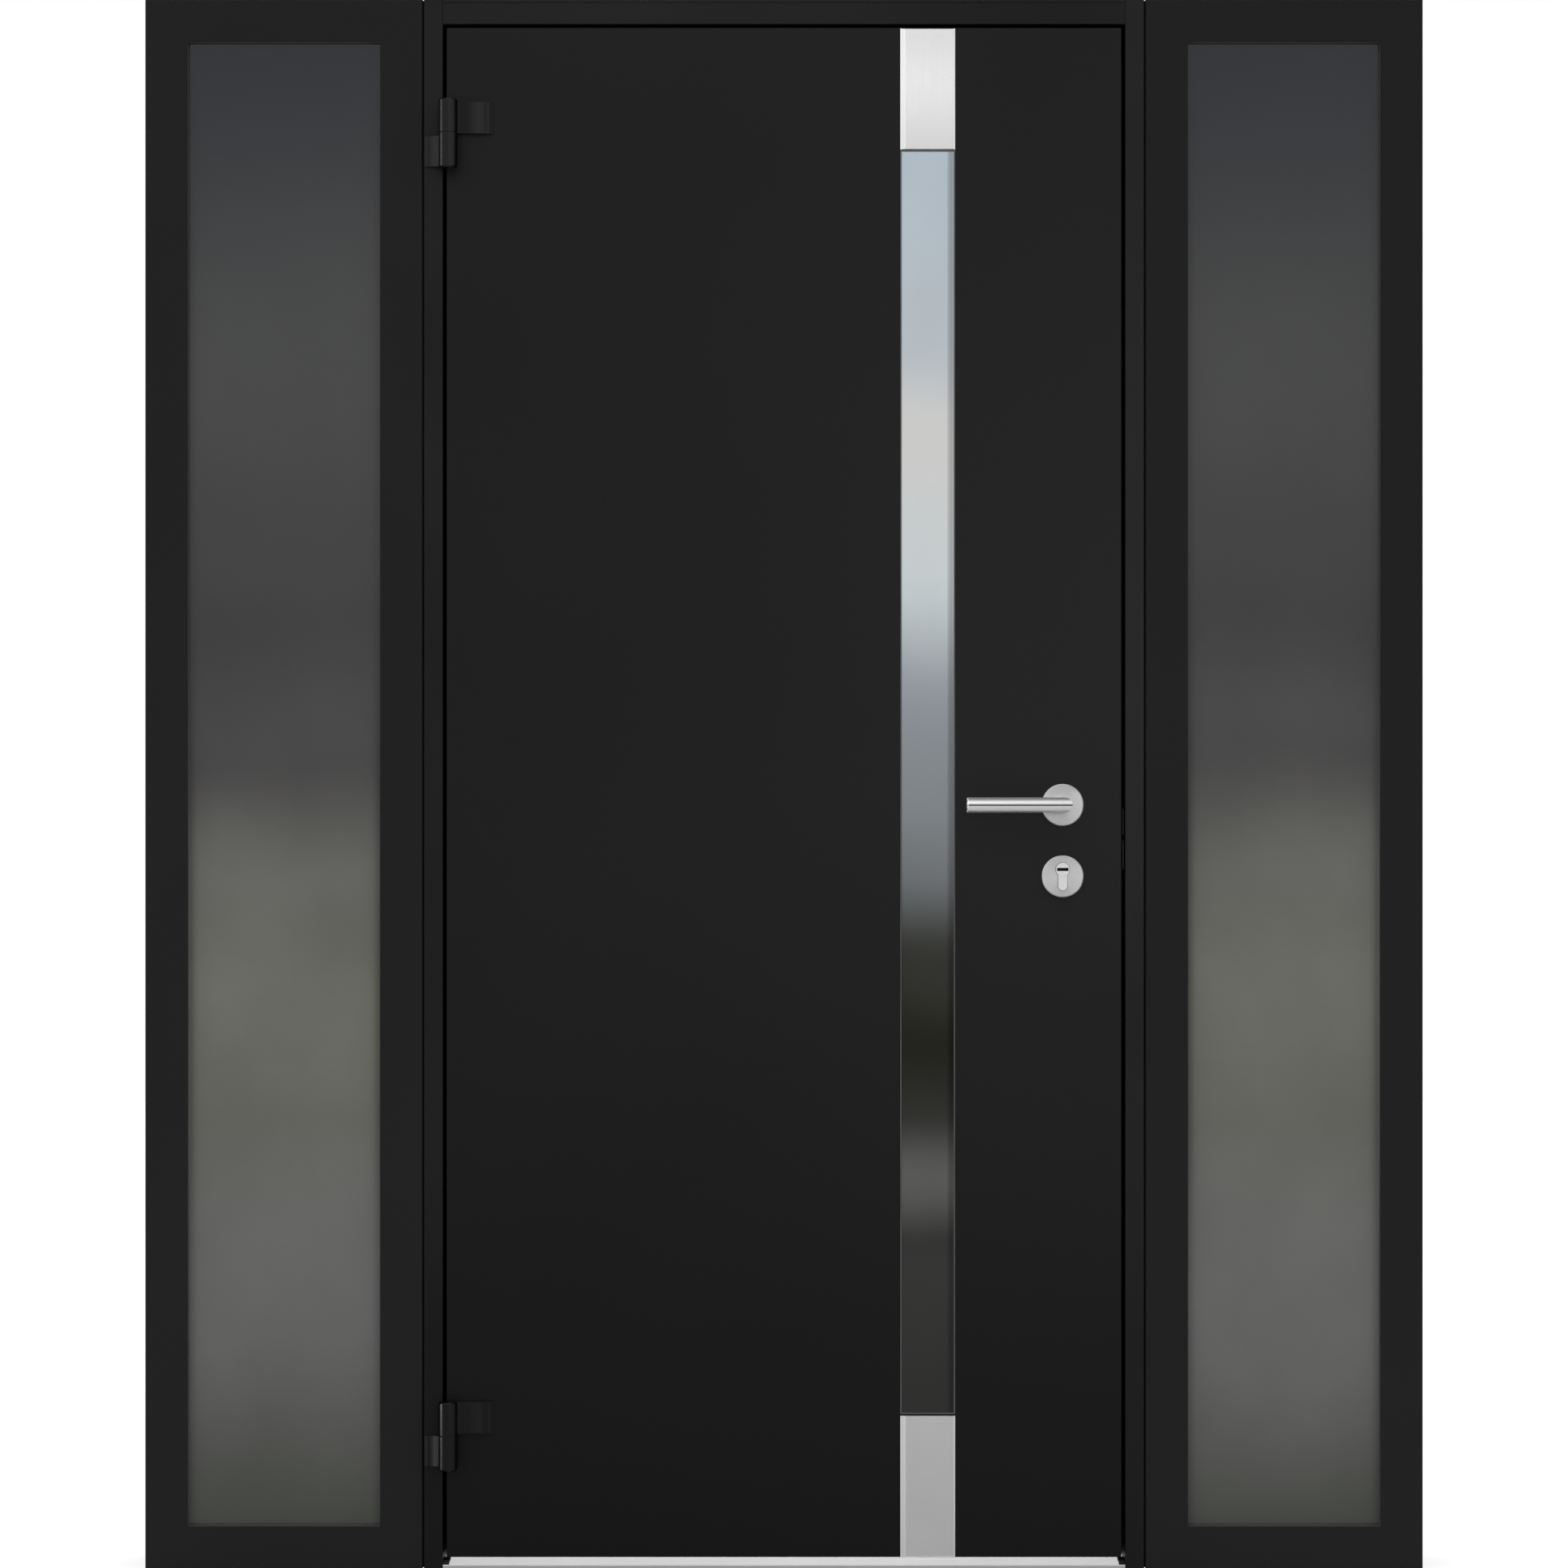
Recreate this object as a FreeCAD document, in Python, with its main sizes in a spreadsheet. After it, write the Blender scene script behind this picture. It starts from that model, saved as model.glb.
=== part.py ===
# Steel entrance door with two fixed sidelights, in millimetres.
# X runs to the right seen from outside, Y runs inwards, Z runs up.
# The origin is on the floor, in the middle of the door and of the frame's depth.
import FreeCAD
import Part
import math
import os
import re

import Sketcher

Vector = FreeCAD.Vector
Rotation = FreeCAD.Rotation

# Driving sizes: name, value in millimetres, what it is.
SIZES = [
    ("overall_height", 2070, "floor to the top of the frame"),
    ("frame_depth", 100, "front face to back face of every frame member"),
    ("leaf_width", 890, "door leaf across its front face"),
    ("leaf_thick", 70, "door leaf, skin to skin"),
    ("leaf_gap", 5, "gap between the leaf and each jamb"),
    ("head_gap", 5, "gap above the leaf"),
    ("leaf_lift", 15.5, "underside of the leaf above the floor"),
    ("lock_bevel", 4.5, "how far the lock edge slopes back over the leaf's thickness"),
    ("jamb_face", 25, "front width of a door jamb"),
    ("head_face", 33, "front height of the head over the door"),
    ("stop_reach", 18, "rebate stop past the jamb"),
    ("stop_space", 12, "back of the leaf to the stop"),
    ("seal_thick", 7, "weather seal, front to back"),
    ("seal_width", 12, "weather seal along the stop"),
    ("seal_margin", 1, "weather seal to the jamb and at its corners"),
    ("seal_bulge", 3, "rounded front of a weather seal"),
    ("edge_round", 1.2, "fold radius on the front edges of frames and leaf"),
    ("fold_line", 4, "top of the head down to the fold line on its face"),
    ("fold_width", 1.2, "fold line, height"),
    ("fold_depth", 0.5, "fold line, depth"),
    ("joint_gap", 2, "groove between the door frame and a sidelight"),
    ("joint_setback", 12, "front face to the seal in the groove"),
    ("sidelight_width", 365.5, "one sidelight, outside to outside"),
    ("member_face", 56, "front width of a sidelight member"),
    ("member_leg", 36, "width of a sidelight member behind the glass"),
    ("lip_thick", 10, "front lip that covers the edge of the glass"),
    ("side_pane", 6, "one pane of the sidelight glass"),
    ("side_cavity", 16, "space between the two sidelight panes"),
    ("glass_cover", 15, "glass held behind the lip"),
    ("gasket_thick", 3, "glazing gasket, front to back"),
    ("gasket_width", 14, "glazing gasket across"),
    ("spacer_face", 9, "spacer between panes, across"),
    ("bead_depth", 22, "glazing bead, front to back"),
    ("anchor_radius", 5.25, "wall anchor hole"),
    ("anchor_back", 15, "wall anchor hole to the back of the frame"),
    ("anchor_end", 300, "end anchors to the ends of the stile"),
    ("threshold_lip", 4, "front edge of the threshold above the floor"),
    ("threshold_rise", 7.5, "threshold tread at the stop"),
    ("threshold_stop", 24, "threshold stop above the floor"),
    ("threshold_nose", 12, "slope at the front of the tread, front to back"),
    ("threshold_tread", 6.5, "tread behind its front slope, above the floor"),
    ("groove_place", 30, "front of the frame to the first groove in the tread"),
    ("groove_pitch", 14, "one tread groove to the next"),
    ("groove_width", 2, "tread groove"),
    ("groove_depth", 1, "tread groove"),
    ("block_width", 8, "rubber block at each end of the threshold"),
    ("block_height", 10.2, "top of a rubber block above the floor"),
    ("block_length", 32, "rubber block, front to back"),
    ("block_setback", 3, "front of the frame to a rubber block"),
    ("block_slope", 3, "sloping front of a rubber block"),
    ("skin_thick", 1.5, "steel skin of the leaf"),
    ("return_depth", 22, "skin folded round the edges of the leaf"),
    ("strip_width", 72.2, "vertical strip on the leaf"),
    ("strip_offset", 189.5, "middle of the strip to the right of the middle of the leaf"),
    ("top_insert", 160, "upper metal insert, length"),
    ("bottom_insert", 186, "lower metal insert, length"),
    ("insert_thick", 2, "metal insert, proud of the skin"),
    ("insert_edge", 0.8, "metal insert at its thin edges"),
    ("insert_bevel", 2.4, "bevel along a metal insert"),
    ("insert_end", 1, "bevel at the ends of a metal insert"),
    ("insert_roll", 7, "rolled left edge of a metal insert"),
    ("roll_drop", 0.4, "metal insert thinner where the roll meets the bevel"),
    ("insert_margin", 0.5, "insert to the end of the leaf"),
    ("top_joint", 0.8, "joint between the upper insert and the glass trim"),
    ("bottom_joint", 2.4, "joint between the lower insert and the glass trim"),
    ("trim_wall", 1.6, "glass trim seen from the front"),
    ("trim_proud", 1, "glass trim proud of the skin"),
    ("strip_pane", 6, "outer and inner pane of the strip"),
    ("middle_pane", 4, "middle pane of the strip"),
    ("pane_setback", 0.5, "face of the strip's glass behind the face of the leaf"),
    ("hinge_offset", 3, "hinge axis inside the edge of the leaf"),
    ("hinge_proud", 18, "hinge axis in front of the leaf"),
    ("knuckle_radius", 12.7, "hinge knuckle"),
    ("knuckle_length", 45, "one half of a hinge"),
    ("knuckle_play", 0.4, "leaf knuckle above the collar"),
    ("knuckle_edge", 1.6, "chamfer at the ends of a knuckle"),
    ("hinge_drop", 141.5, "top of the leaf down to the joint of the upper hinge"),
    ("hinge_rise", 162, "bottom of the leaf up to the joint of the lower hinge"),
    ("wing_margin", 3.4, "frame wing ends above the foot of its knuckle"),
    ("wing_sink", 0.2, "root of a wing inside its knuckle"),
    ("root_angle", 34, "root of a wing, in degrees round from the leaf"),
    ("leaf_wing", 59, "leaf wing, from the hinge axis"),
    ("frame_wing", 32, "frame wing, from the hinge axis"),
    ("hollow_side", 26, "hinge axis to the end of the hollow in the leaf wing"),
    ("hollow_height", 5.5, "leaf wing at the end of its hollow"),
    ("hollow_radius", 18, "hollow beside the knuckle"),
    ("crown_radius", 46, "crown of the leaf wing"),
    ("sweep_radius", 30, "hollow of the frame wing"),
    ("wing_bevel", 4.3, "bevel at the end of a wing"),
    ("wing_height", 3.2, "wing where its end bevel starts"),
    ("wing_end", 0.8, "thickness of a wing at its end"),
    ("pin_radius", 6, "hinge pin"),
    ("pin_reach", 37, "hinge pin into each half"),
    ("pin_press", 0.02, "pin in the fixed half, all round"),
    ("pin_play", 0.06, "pin in the turning half, all round"),
    ("pin_tip", 1, "space past the end of the pin"),
    ("collar_thick", 1.2, "collar between the halves of a hinge"),
    ("collar_inset", 0.7, "collar narrower than the knuckles, all round"),
    ("lever_backset", 78, "front lock edge to the lever's axis"),
    ("lever_height", 1007.5, "lever's axis above the floor"),
    ("lever_radius", 10, "round bar of the lever"),
    ("lever_stand", 50, "face of the leaf to the middle of the bar"),
    ("lever_length", 128, "lever's axis to the free end"),
    ("lever_edge", 1, "chamfer at the free end"),
    ("neck_play", 0.3, "neck of the lever in its rose, all round"),
    ("neck_start", 1, "neck of the lever to the skin"),
    ("rose_radius", 27.5, "round rose"),
    ("rose_thick", 10, "round rose"),
    ("rose_edge", 1.2, "chamfer of a rose"),
    ("spindle_side", 8, "square spindle"),
    ("spindle_play", 0.1, "spindle in its socket, each side"),
    ("spindle_hole", 15, "square hole for the spindle, each side"),
    ("socket_depth", 28, "square socket in the neck, from the leaf"),
    ("cylinder_drop", 85, "lever's axis down to the key plug"),
    ("cylinder_head", 9.2, "round head of the lock cylinder, radius"),
    ("cylinder_leg", 12, "leg of the lock cylinder, width"),
    ("cylinder_tall", 36.8, "lock cylinder, height"),
    ("cylinder_proud", 1.5, "lock cylinder proud of its rose"),
    ("cylinder_play", 0.5, "hole round the lock cylinder"),
    ("plug_radius", 8.3, "bore for the key plug"),
    ("plug_play", 0.05, "key plug in its bore, all round"),
    ("plug_length", 30, "key plug"),
    ("plug_proud", 0.5, "key plug proud of the cylinder"),
    ("slot_long", 15, "key slot, length"),
    ("slot_high", 4.2, "key slot, height"),
    ("slot_deep", 24, "key slot, depth"),
    ("case_thick", 16, "lock case"),
    ("case_depth", 106, "lock case, from the forend inwards"),
    ("case_above", 55, "lock case above the lever's axis"),
    ("case_below", 150, "lock case below the lever's axis"),
    ("forend_width", 22, "forend and strike plate, front to back"),
    ("forend_thick", 3, "forend and strike plate"),
    ("forend_extra", 25, "forend longer than the case at each end"),
    ("latch_drop", 22, "lever's axis down to the latch"),
    ("latch_high", 30, "latch, height"),
    ("latch_thick", 12, "latch, front to back"),
    ("deadbolt_drop", 66, "lever's axis down to the deadbolt"),
    ("deadbolt_high", 34, "deadbolt, height"),
    ("deadbolt_thick", 14, "deadbolt, front to back"),
    ("bolt_play", 0.4, "bolt in the forend, all round"),
    ("bolt_inside", 30, "bolt behind the face of the forend"),
    ("keep_extra", 3, "hole in the strike plate round a bolt, all round"),
    ("keep_deep", 15, "hole in the jamb behind the strike plate"),
]

# Places worked out from the sizes.
PLACES = [
    ("frame_front", "-frame_depth / 2"),
    ("frame_back", "frame_depth / 2"),
    ("leaf_left", "-leaf_width / 2"),
    ("leaf_right", "leaf_width / 2"),
    ("leaf_front", "frame_front"),
    ("leaf_back", "leaf_front + leaf_thick"),
    ("leaf_mid", "(leaf_front + leaf_back) / 2"),
    ("leaf_bottom", "leaf_lift"),
    ("head_bottom", "overall_height - head_face"),
    ("leaf_top", "head_bottom - head_gap"),
    ("jamb_inner", "leaf_width / 2 + leaf_gap"),
    ("jamb_outer", "jamb_inner + jamb_face"),
    ("stop_inner", "jamb_inner - stop_reach"),
    ("stop_front", "leaf_back + stop_space"),
    ("seal_front", "stop_front - seal_thick"),
    ("side_inner", "jamb_outer + joint_gap"),
    ("side_outer", "side_inner + sidelight_width"),
    ("lip_back", "frame_front + lip_thick"),
    ("glass_front", "lip_back + gasket_thick"),
    ("glass_mid_front", "glass_front + side_pane"),
    ("glass_mid_back", "glass_mid_front + side_cavity"),
    ("glass_back", "glass_mid_back + side_pane"),
    ("bead_front", "glass_back + gasket_thick"),
    ("bead_back", "bead_front + bead_depth"),
    ("glass_edge", "member_face - glass_cover"),
    ("anchor_depth", "frame_back - anchor_back"),
    ("strip_left", "strip_offset - strip_width / 2"),
    ("strip_right", "strip_offset + strip_width / 2"),
    ("insert_top", "leaf_top - insert_margin"),
    ("insert_top_end", "insert_top - top_insert"),
    ("trim_top", "insert_top_end - top_joint"),
    ("insert_bottom", "leaf_bottom + insert_margin"),
    ("insert_bottom_end", "insert_bottom + bottom_insert"),
    ("trim_bottom", "insert_bottom_end + bottom_joint"),
    ("return_front", "leaf_front + return_depth"),
    ("return_back", "leaf_back - return_depth"),
    ("hinge_side", "leaf_left + hinge_offset"),
    ("hinge_depth", "leaf_front - hinge_proud"),
    ("upper_split", "leaf_top - hinge_drop"),
    ("lower_split", "leaf_bottom + hinge_rise"),
    ("root_side", "(knuckle_radius - wing_sink) * cos(root_angle * 1 deg)"),
    ("root_height", "hinge_proud - (knuckle_radius - wing_sink) * sin(root_angle * 1 deg)"),
    ("lever_side", "leaf_right - lever_backset"),
    ("plug_height", "lever_height - cylinder_drop"),
    ("cylinder_bottom", "plug_height + cylinder_head - cylinder_tall"),
    ("cylinder_middle", "plug_height + cylinder_head - cylinder_tall / 2"),
    ("forend_front", "leaf_mid - forend_width / 2"),
    ("forend_back", "leaf_mid + forend_width / 2"),
    ("case_top", "lever_height + case_above"),
    ("case_bottom", "lever_height - case_below"),
    ("forend_top", "case_top + forend_extra"),
    ("forend_bottom", "case_bottom - forend_extra"),
    ("latch_height", "lever_height - latch_drop"),
    ("deadbolt_height", "lever_height - deadbolt_drop"),
]

doc = FreeCAD.newDocument("door_with_sidelights")
sizes = doc.addObject("Spreadsheet::Sheet", "sizes")
places = doc.addObject("Spreadsheet::Sheet", "places")
SIZE_NAMES = {alias for alias, value, note in SIZES}
WORD = re.compile(r"[a-z]+(?:_[a-z]+)+")


def in_places(text):
    """The text of a cell of the places sheet, with the driving sizes read from their own sheet."""
    return WORD.sub(lambda word: ("sizes." if word.group() in SIZE_NAMES else "") + word.group(), text)


def link(text):
    """The text as an expression that any object can be bound to."""
    return WORD.sub(
        lambda word: ("sizes." if word.group() in SIZE_NAMES else "places.") + word.group(), text
    )


for row, (alias, value, note) in enumerate(SIZES, 1):
    sizes.set("A%d" % row, note)
    sizes.set("B%d" % row, str(value))
    sizes.setAlias("B%d" % row, alias)
for row, (alias, formula) in enumerate(PLACES, 1):
    places.set("A%d" % row, alias.replace("_", " "))
    places.set("B%d" % row, "=" + in_places(formula))
    places.setAlias("B%d" % row, alias)
doc.recompute()

nodes = []


def number(text):
    return float(sizes.evalExpression(link(text)))


def node(piece, label):
    """Marks a finished piece as one node of the assembly."""
    piece.Label = label
    nodes.append(piece)
    return piece


def place(piece, x, y, z):
    for side, text in zip("xyz", (x, y, z)):
        piece.setExpression("Placement.Base." + side, link(text))


def box(name, x, y, z):
    """A block between two places along each axis."""
    piece = doc.addObject("Part::Box", name)
    place(piece, x[0], y[0], z[0])
    for side, (low, high) in zip(("Length", "Width", "Height"), (x, y, z)):
        piece.setExpression(side, link("(%s) - (%s)" % (high, low)))
    return piece


TURNS = {
    "X": Rotation(Vector(0, 1, 0), 90),
    "-X": Rotation(Vector(0, 1, 0), -90),
    "Y": Rotation(Vector(1, 0, 0), -90),
    "-Y": Rotation(Vector(1, 0, 0), 90),
    "Z": Rotation(),
}


def rod(name, way, start, radius, length):
    """A cylinder that runs from its start along the way given."""
    piece = doc.addObject("Part::Cylinder", name)
    piece.Placement = FreeCAD.Placement(Vector(), TURNS[way])
    place(piece, *start)
    piece.setExpression("Radius", link(radius))
    piece.setExpression("Height", link(length))
    return piece


def taper(name, way, start, radius, end_radius, length):
    """A cone that runs from its start along the way given."""
    piece = doc.addObject("Part::Cone", name)
    piece.Placement = FreeCAD.Placement(Vector(), TURNS[way])
    place(piece, *start)
    piece.setExpression("Radius1", link(radius))
    piece.setExpression("Radius2", link(end_radius))
    piece.setExpression("Height", link(length))
    return piece


def sorted_span(sign, near, far):
    """Two distances from the middle of the door, as places on its left (-1) or right (1)."""
    return (near, far) if sign > 0 else ("-(%s)" % far, "-(%s)" % near)


def fuse(name, *pieces):
    whole = doc.addObject("Part::MultiFuse", name)
    whole.Shapes = list(pieces)
    whole.Refine = True
    return whole


def cut(name, base, *tools):
    whole = doc.addObject("Part::Cut", name)
    whole.Base = base
    whole.Tool = tools[0] if len(tools) == 1 else fuse(name + "_tools", *tools)
    whole.Refine = True
    return whole


def common(name, base, tool):
    whole = doc.addObject("Part::Common", name)
    whole.Base = base
    whole.Tool = tool
    return whole


def group(name, *pieces):
    """Separate solids that share a node."""
    whole = doc.addObject("Part::Compound", name)
    whole.Links = list(pieces)
    return whole


def rectangle(u, v):
    return [(u[0], v[0]), (u[1], v[0]), (u[1], v[1]), (u[0], v[1])]


def arc_middle(start, end, radius, side):
    """The middle of the arc that bulges to the left (1) or right (-1) of the way from start to end."""
    chord = end - start
    rise = radius - math.sqrt(radius**2 - (chord.Length / 2) ** 2)
    normal = Vector(-chord.y, chord.x, 0).normalize()
    return (start + end) * 0.5 + normal * side * rise


def draw_loop(sketch, corners):
    """Adds a closed outline. A corner is (u, v), or (u, v, radius, side) where an arc leaves it."""
    points = [Vector(number(corner[0]), number(corner[1]), 0) for corner in corners]
    ends = []
    for index, corner in enumerate(corners):
        start, end = points[index], points[(index + 1) % len(points)]
        if len(corner) == 2:
            edge = sketch.addGeometry(Part.LineSegment(start, end), False)
            ends.append((edge, 1, 2))
        else:
            radius, side = corner[2:]
            middle = arc_middle(start, end, number(radius), side)
            edge = sketch.addGeometry(Part.Arc(start, middle, end), False)
            ends.append((edge, 2, 1) if side > 0 else (edge, 1, 2))
            hold = sketch.addConstraint(Sketcher.Constraint("Radius", edge, number(radius)))
            sketch.setExpression("Constraints[%d]" % hold, link(radius))
    for index, (edge, first, last) in enumerate(ends):
        following, start, unused = ends[(index + 1) % len(ends)]
        sketch.addConstraint(Sketcher.Constraint("Coincident", edge, last, following, start))
    for (edge, first, last), corner, point in zip(ends, corners, points):
        for kind, text, value in (("DistanceX", corner[0], point.x), ("DistanceY", corner[1], point.y)):
            hold = sketch.addConstraint(Sketcher.Constraint(kind, -1, 1, edge, first, value))
            sketch.setExpression("Constraints[%d]" % hold, link(text))


def soft_corner(u, v, into, out, turn):
    """A rounded corner. The outline comes along into, leaves along out and turns left (1) or right (-1)."""
    entry = tuple("%s - %d * edge_round" % (place, step) for place, step in zip((u, v), into))
    leave = tuple("%s + %d * edge_round" % (place, step) for place, step in zip((u, v), out))
    return [entry + ("edge_round", -turn), leave]


def cut_corner(u, v, into, out):
    """The same corner with a chamfer."""
    entry = tuple("%s - %d * edge_round" % (place, step) for place, step in zip((u, v), into))
    return [entry, tuple("%s + %d * edge_round" % (place, step) for place, step in zip((u, v), out))]


def draw_circle(sketch, u, v, radius):
    centre = Vector(number(u), number(v), 0)
    edge = sketch.addGeometry(Part.Circle(centre, Vector(0, 0, 1), number(radius)), False)
    for kind, text, value in (("DistanceX", u, centre.x), ("DistanceY", v, centre.y)):
        hold = sketch.addConstraint(Sketcher.Constraint(kind, -1, 1, edge, 3, value))
        sketch.setExpression("Constraints[%d]" % hold, link(text))
    hold = sketch.addConstraint(Sketcher.Constraint("Radius", edge, number(radius)))
    sketch.setExpression("Constraints[%d]" % hold, link(radius))


def outline_on(body, plane, name, loops, height):
    """A sketch on one of the body's own planes, moved along that plane's axis to a height."""
    sketch = body.newObject("Sketcher::SketchObject", name)
    origin_plane = next(item for item in body.Origin.OriginFeatures if item.Role == plane + "_Plane")
    sketch.AttachmentSupport = [(origin_plane, "")]
    sketch.MapMode = "FlatFace"
    way = "-" if plane == "XZ" else ""
    sketch.setExpression("AttachmentOffset.Base.z", link("%s(%s)" % (way, height)))
    for loop in loops:
        if loop[0] == "circle":
            draw_circle(sketch, *loop[1:])
        else:
            draw_loop(sketch, loop)
    return sketch


def add_pad(body, plane, name, loops, span):
    low, high = span
    pad = body.newObject("PartDesign::Pad", name)
    pad.Profile = outline_on(body, plane, name + "_outline", loops, low)
    pad.Reversed = plane == "XZ"
    pad.setExpression("Length", link("(%s) - (%s)" % (high, low)))
    return pad


def prism(name, plane, loops, span):
    """A body with one outline, padded from the first place of the span to the second."""
    body = doc.addObject("PartDesign::Body", name)
    add_pad(body, plane, name + "_pad", loops, span)
    return body


def inset(pair, amount):
    return ("%s + (%s)" % (pair[0], amount), "%s - (%s)" % (pair[1], amount))


def frame_ring(name, x, z, wall, y):
    """A rectangular ring that stands in the XZ plane."""
    return prism(name, "XZ", [rectangle(x, z), rectangle(inset(x, wall), inset(z, wall))], y)


def lock_edge(depth):
    """Where the bevelled lock edge of the leaf lies at a given depth."""
    return "leaf_right - lock_bevel * (%s - leaf_front) / leaf_thick" % depth


def leaf_outline(depth, margin, soft=None):
    """The leaf seen from above, between two depths, with a margin off both edges.

    The skins have soft corners on their face: soft is "front" or "back" for those.
    """
    front, back = depth
    left, right = "leaf_left + %s" % margin, "%s - %s"
    corners = {
        "front_left": [(left, front)],
        "front_right": [(right % (lock_edge(front), margin), front)],
        "back_right": [(right % (lock_edge(back), margin), back)],
        "back_left": [(left, back)],
    }
    if soft == "front":
        shoulder = front + " + edge_round"
        corners["front_left"] = soft_corner(left, front, (0, -1), (1, 0), 1)
        corners["front_right"] = [("leaf_right - edge_round", front, "edge_round", -1),
                                  (lock_edge(shoulder), shoulder)]
    if soft == "back":
        shoulder = back + " - edge_round"
        corners["back_right"] = [(lock_edge(shoulder), shoulder, "edge_round", -1),
                                 (lock_edge(back) + " - edge_round", back)]
        corners["back_left"] = soft_corner(left, back, (-1, 0), (0, -1), 1)
    return corners["front_left"] + corners["front_right"] + corners["back_right"] + corners["back_left"]


# Door frame: two jambs, the head between them, and the threshold.
def make_jamb(side, sign):
    inner, outer = "%d * jamb_inner" % sign, "%d * jamb_outer" % sign
    outline = [
        (inner, "frame_back"), (outer, "frame_back"),
        *soft_corner(outer, "frame_front", (0, -1), (-sign, 0), -sign),
        *soft_corner(inner, "frame_front", (-sign, 0), (0, 1), -sign),
    ]
    post = prism(side + "_jamb_post", "XY", [outline], ("0", "overall_height"))
    stop = box(
        side + "_jamb_stop", sorted_span(sign, "stop_inner", "jamb_inner"),
        ("stop_front", "frame_back"), ("0", "head_bottom"),
    )
    return fuse(side + "_jamb_whole", post, stop)


node(make_jamb("left", -1), "left_jamb")
head_outline = [
    ("frame_back", "head_bottom"), ("frame_back", "overall_height"),
    *soft_corner("frame_front", "overall_height", (-1, 0), (0, -1), 1),
    ("frame_front", "overall_height - fold_line"),
    ("frame_front + fold_depth", "overall_height - fold_line - fold_width / 2"),
    ("frame_front", "overall_height - fold_line - fold_width"),
    *soft_corner("frame_front", "head_bottom", (0, -1), (1, 0), 1),
]
head = fuse(
    "head_whole",
    prism("head_bar", "YZ", [head_outline], ("-jamb_inner", "jamb_inner")),
    box("head_stop", ("-stop_inner", "stop_inner"), ("stop_front", "frame_back"),
        ("head_bottom - stop_reach", "head_bottom")),
)
node(head, "head")

strike_span = ("jamb_inner", "jamb_inner + forend_thick")


def bolt_space(name, x, height, high, thick, extra):
    """A block round one of the bolts, at its height, grown by an extra on four sides."""
    return box(
        name, x,
        ("leaf_mid - %s / 2 - %s" % (thick, extra), "leaf_mid + %s / 2 + %s" % (thick, extra)),
        ("%s - %s / 2 - %s" % (height, high, extra), "%s + %s / 2 + %s" % (height, high, extra)),
    )


BOLTS = [
    ("latch", "latch_height", "latch_high", "latch_thick"),
    ("deadbolt", "deadbolt_height", "deadbolt_high", "deadbolt_thick"),
]
keeps = [
    bolt_space("jamb_" + bolt, ("jamb_inner", "jamb_inner + keep_deep"), height, high, thick, "keep_extra")
    for bolt, height, high, thick in BOLTS
]
strike_recess = box("strike_recess", strike_span, ("forend_front", "forend_back"),
                    ("forend_bottom", "forend_top"))
node(cut("right_jamb_cut", make_jamb("right", 1), strike_recess, *keeps), "right_jamb")
strike_holes = [
    bolt_space("strike_" + bolt, strike_span, height, high, thick, "keep_extra")
    for bolt, height, high, thick in BOLTS
]
strike = box("strike_blank", strike_span, ("forend_front", "forend_back"), ("forend_bottom", "forend_top"))
node(cut("strike_cut", strike, *strike_holes), "strike_plate")

tread_foot = "frame_front + threshold_nose"
tread_slope = "(threshold_rise - threshold_tread) / (stop_front - frame_front - threshold_nose)"


def tread_height(depth):
    """The tread rises gently from behind its nose to the stop."""
    return "threshold_tread + (%s - frame_front - threshold_nose) * %s" % (depth, tread_slope)


tread_outline = [("frame_front", "0"), ("stop_front", "0"), ("stop_front", "threshold_rise")]
for index in (2, 1, 0):
    start = "frame_front + groove_place + %d * groove_pitch" % index
    for depth, sink in ((start + " + groove_width", ""), (start + " + groove_width / 2", " - groove_depth"),
                        (start, "")):
        tread_outline.append((depth, tread_height(depth) + sink))
tread_outline += [(tread_foot, "threshold_tread"), ("frame_front", "threshold_lip")]
tread = prism("threshold_tread", "YZ", [tread_outline], ("-jamb_inner", "jamb_inner"))
riser = box("threshold_riser", ("-stop_inner", "stop_inner"), ("stop_front", "frame_back"),
            ("0", "threshold_stop"))
node(fuse("threshold_whole", tread, riser), "threshold")
block_front = "frame_front + block_setback"
block_outline = [
    (block_front, "threshold_lip"), (block_front + " + block_length", "threshold_lip"),
    (block_front + " + block_length", "block_height"), (block_front + " + block_slope", "block_height"),
]
blocks = [
    cut(name + "_block_cut",
        prism(name + "_block", "YZ", [block_outline],
              sorted_span(sign, "jamb_inner - block_width", "jamb_inner")),
        tread)
    for name, sign in (("left", -1), ("right", 1))
]
node(group("threshold_blocks", *blocks), "threshold_end_blocks")

# Weather seals on the stop, and the strips in the grooves beside the sidelights.
seal_depth = ("seal_front", "stop_front")
bulge_radius = "(seal_width ^ 2 / 4 + seal_bulge ^ 2) / (2 * seal_bulge)"
seal_side = ("jamb_inner - seal_margin - seal_width", "jamb_inner - seal_margin")
seal_foot = "threshold_rise + seal_margin"
seal_head = "head_bottom - seal_margin"
seal_shoulder = "seal_front + seal_bulge"
seals = []
for name, sign in (("left", -1), ("right", 1)):
    low, high = sorted_span(sign, *seal_side)
    outline = [(low, seal_shoulder, bulge_radius, -1), (high, seal_shoulder), (high, "stop_front"),
               (low, "stop_front")]
    seals.append(prism(name + "_seal", "XY", [outline], (seal_foot, seal_head)))
between = "jamb_inner - 2 * seal_margin - seal_width"
head_seal_foot = "head_bottom - seal_margin - seal_width"
head_seal_outline = [(seal_shoulder, seal_head, bulge_radius, -1), (seal_shoulder, head_seal_foot),
                     ("stop_front", head_seal_foot), ("stop_front", seal_head)]
seals.append(prism("head_seal", "YZ", [head_seal_outline], ("-(%s)" % between, between)))
node(group("frame_seals", *seals), "frame_seal")
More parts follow.
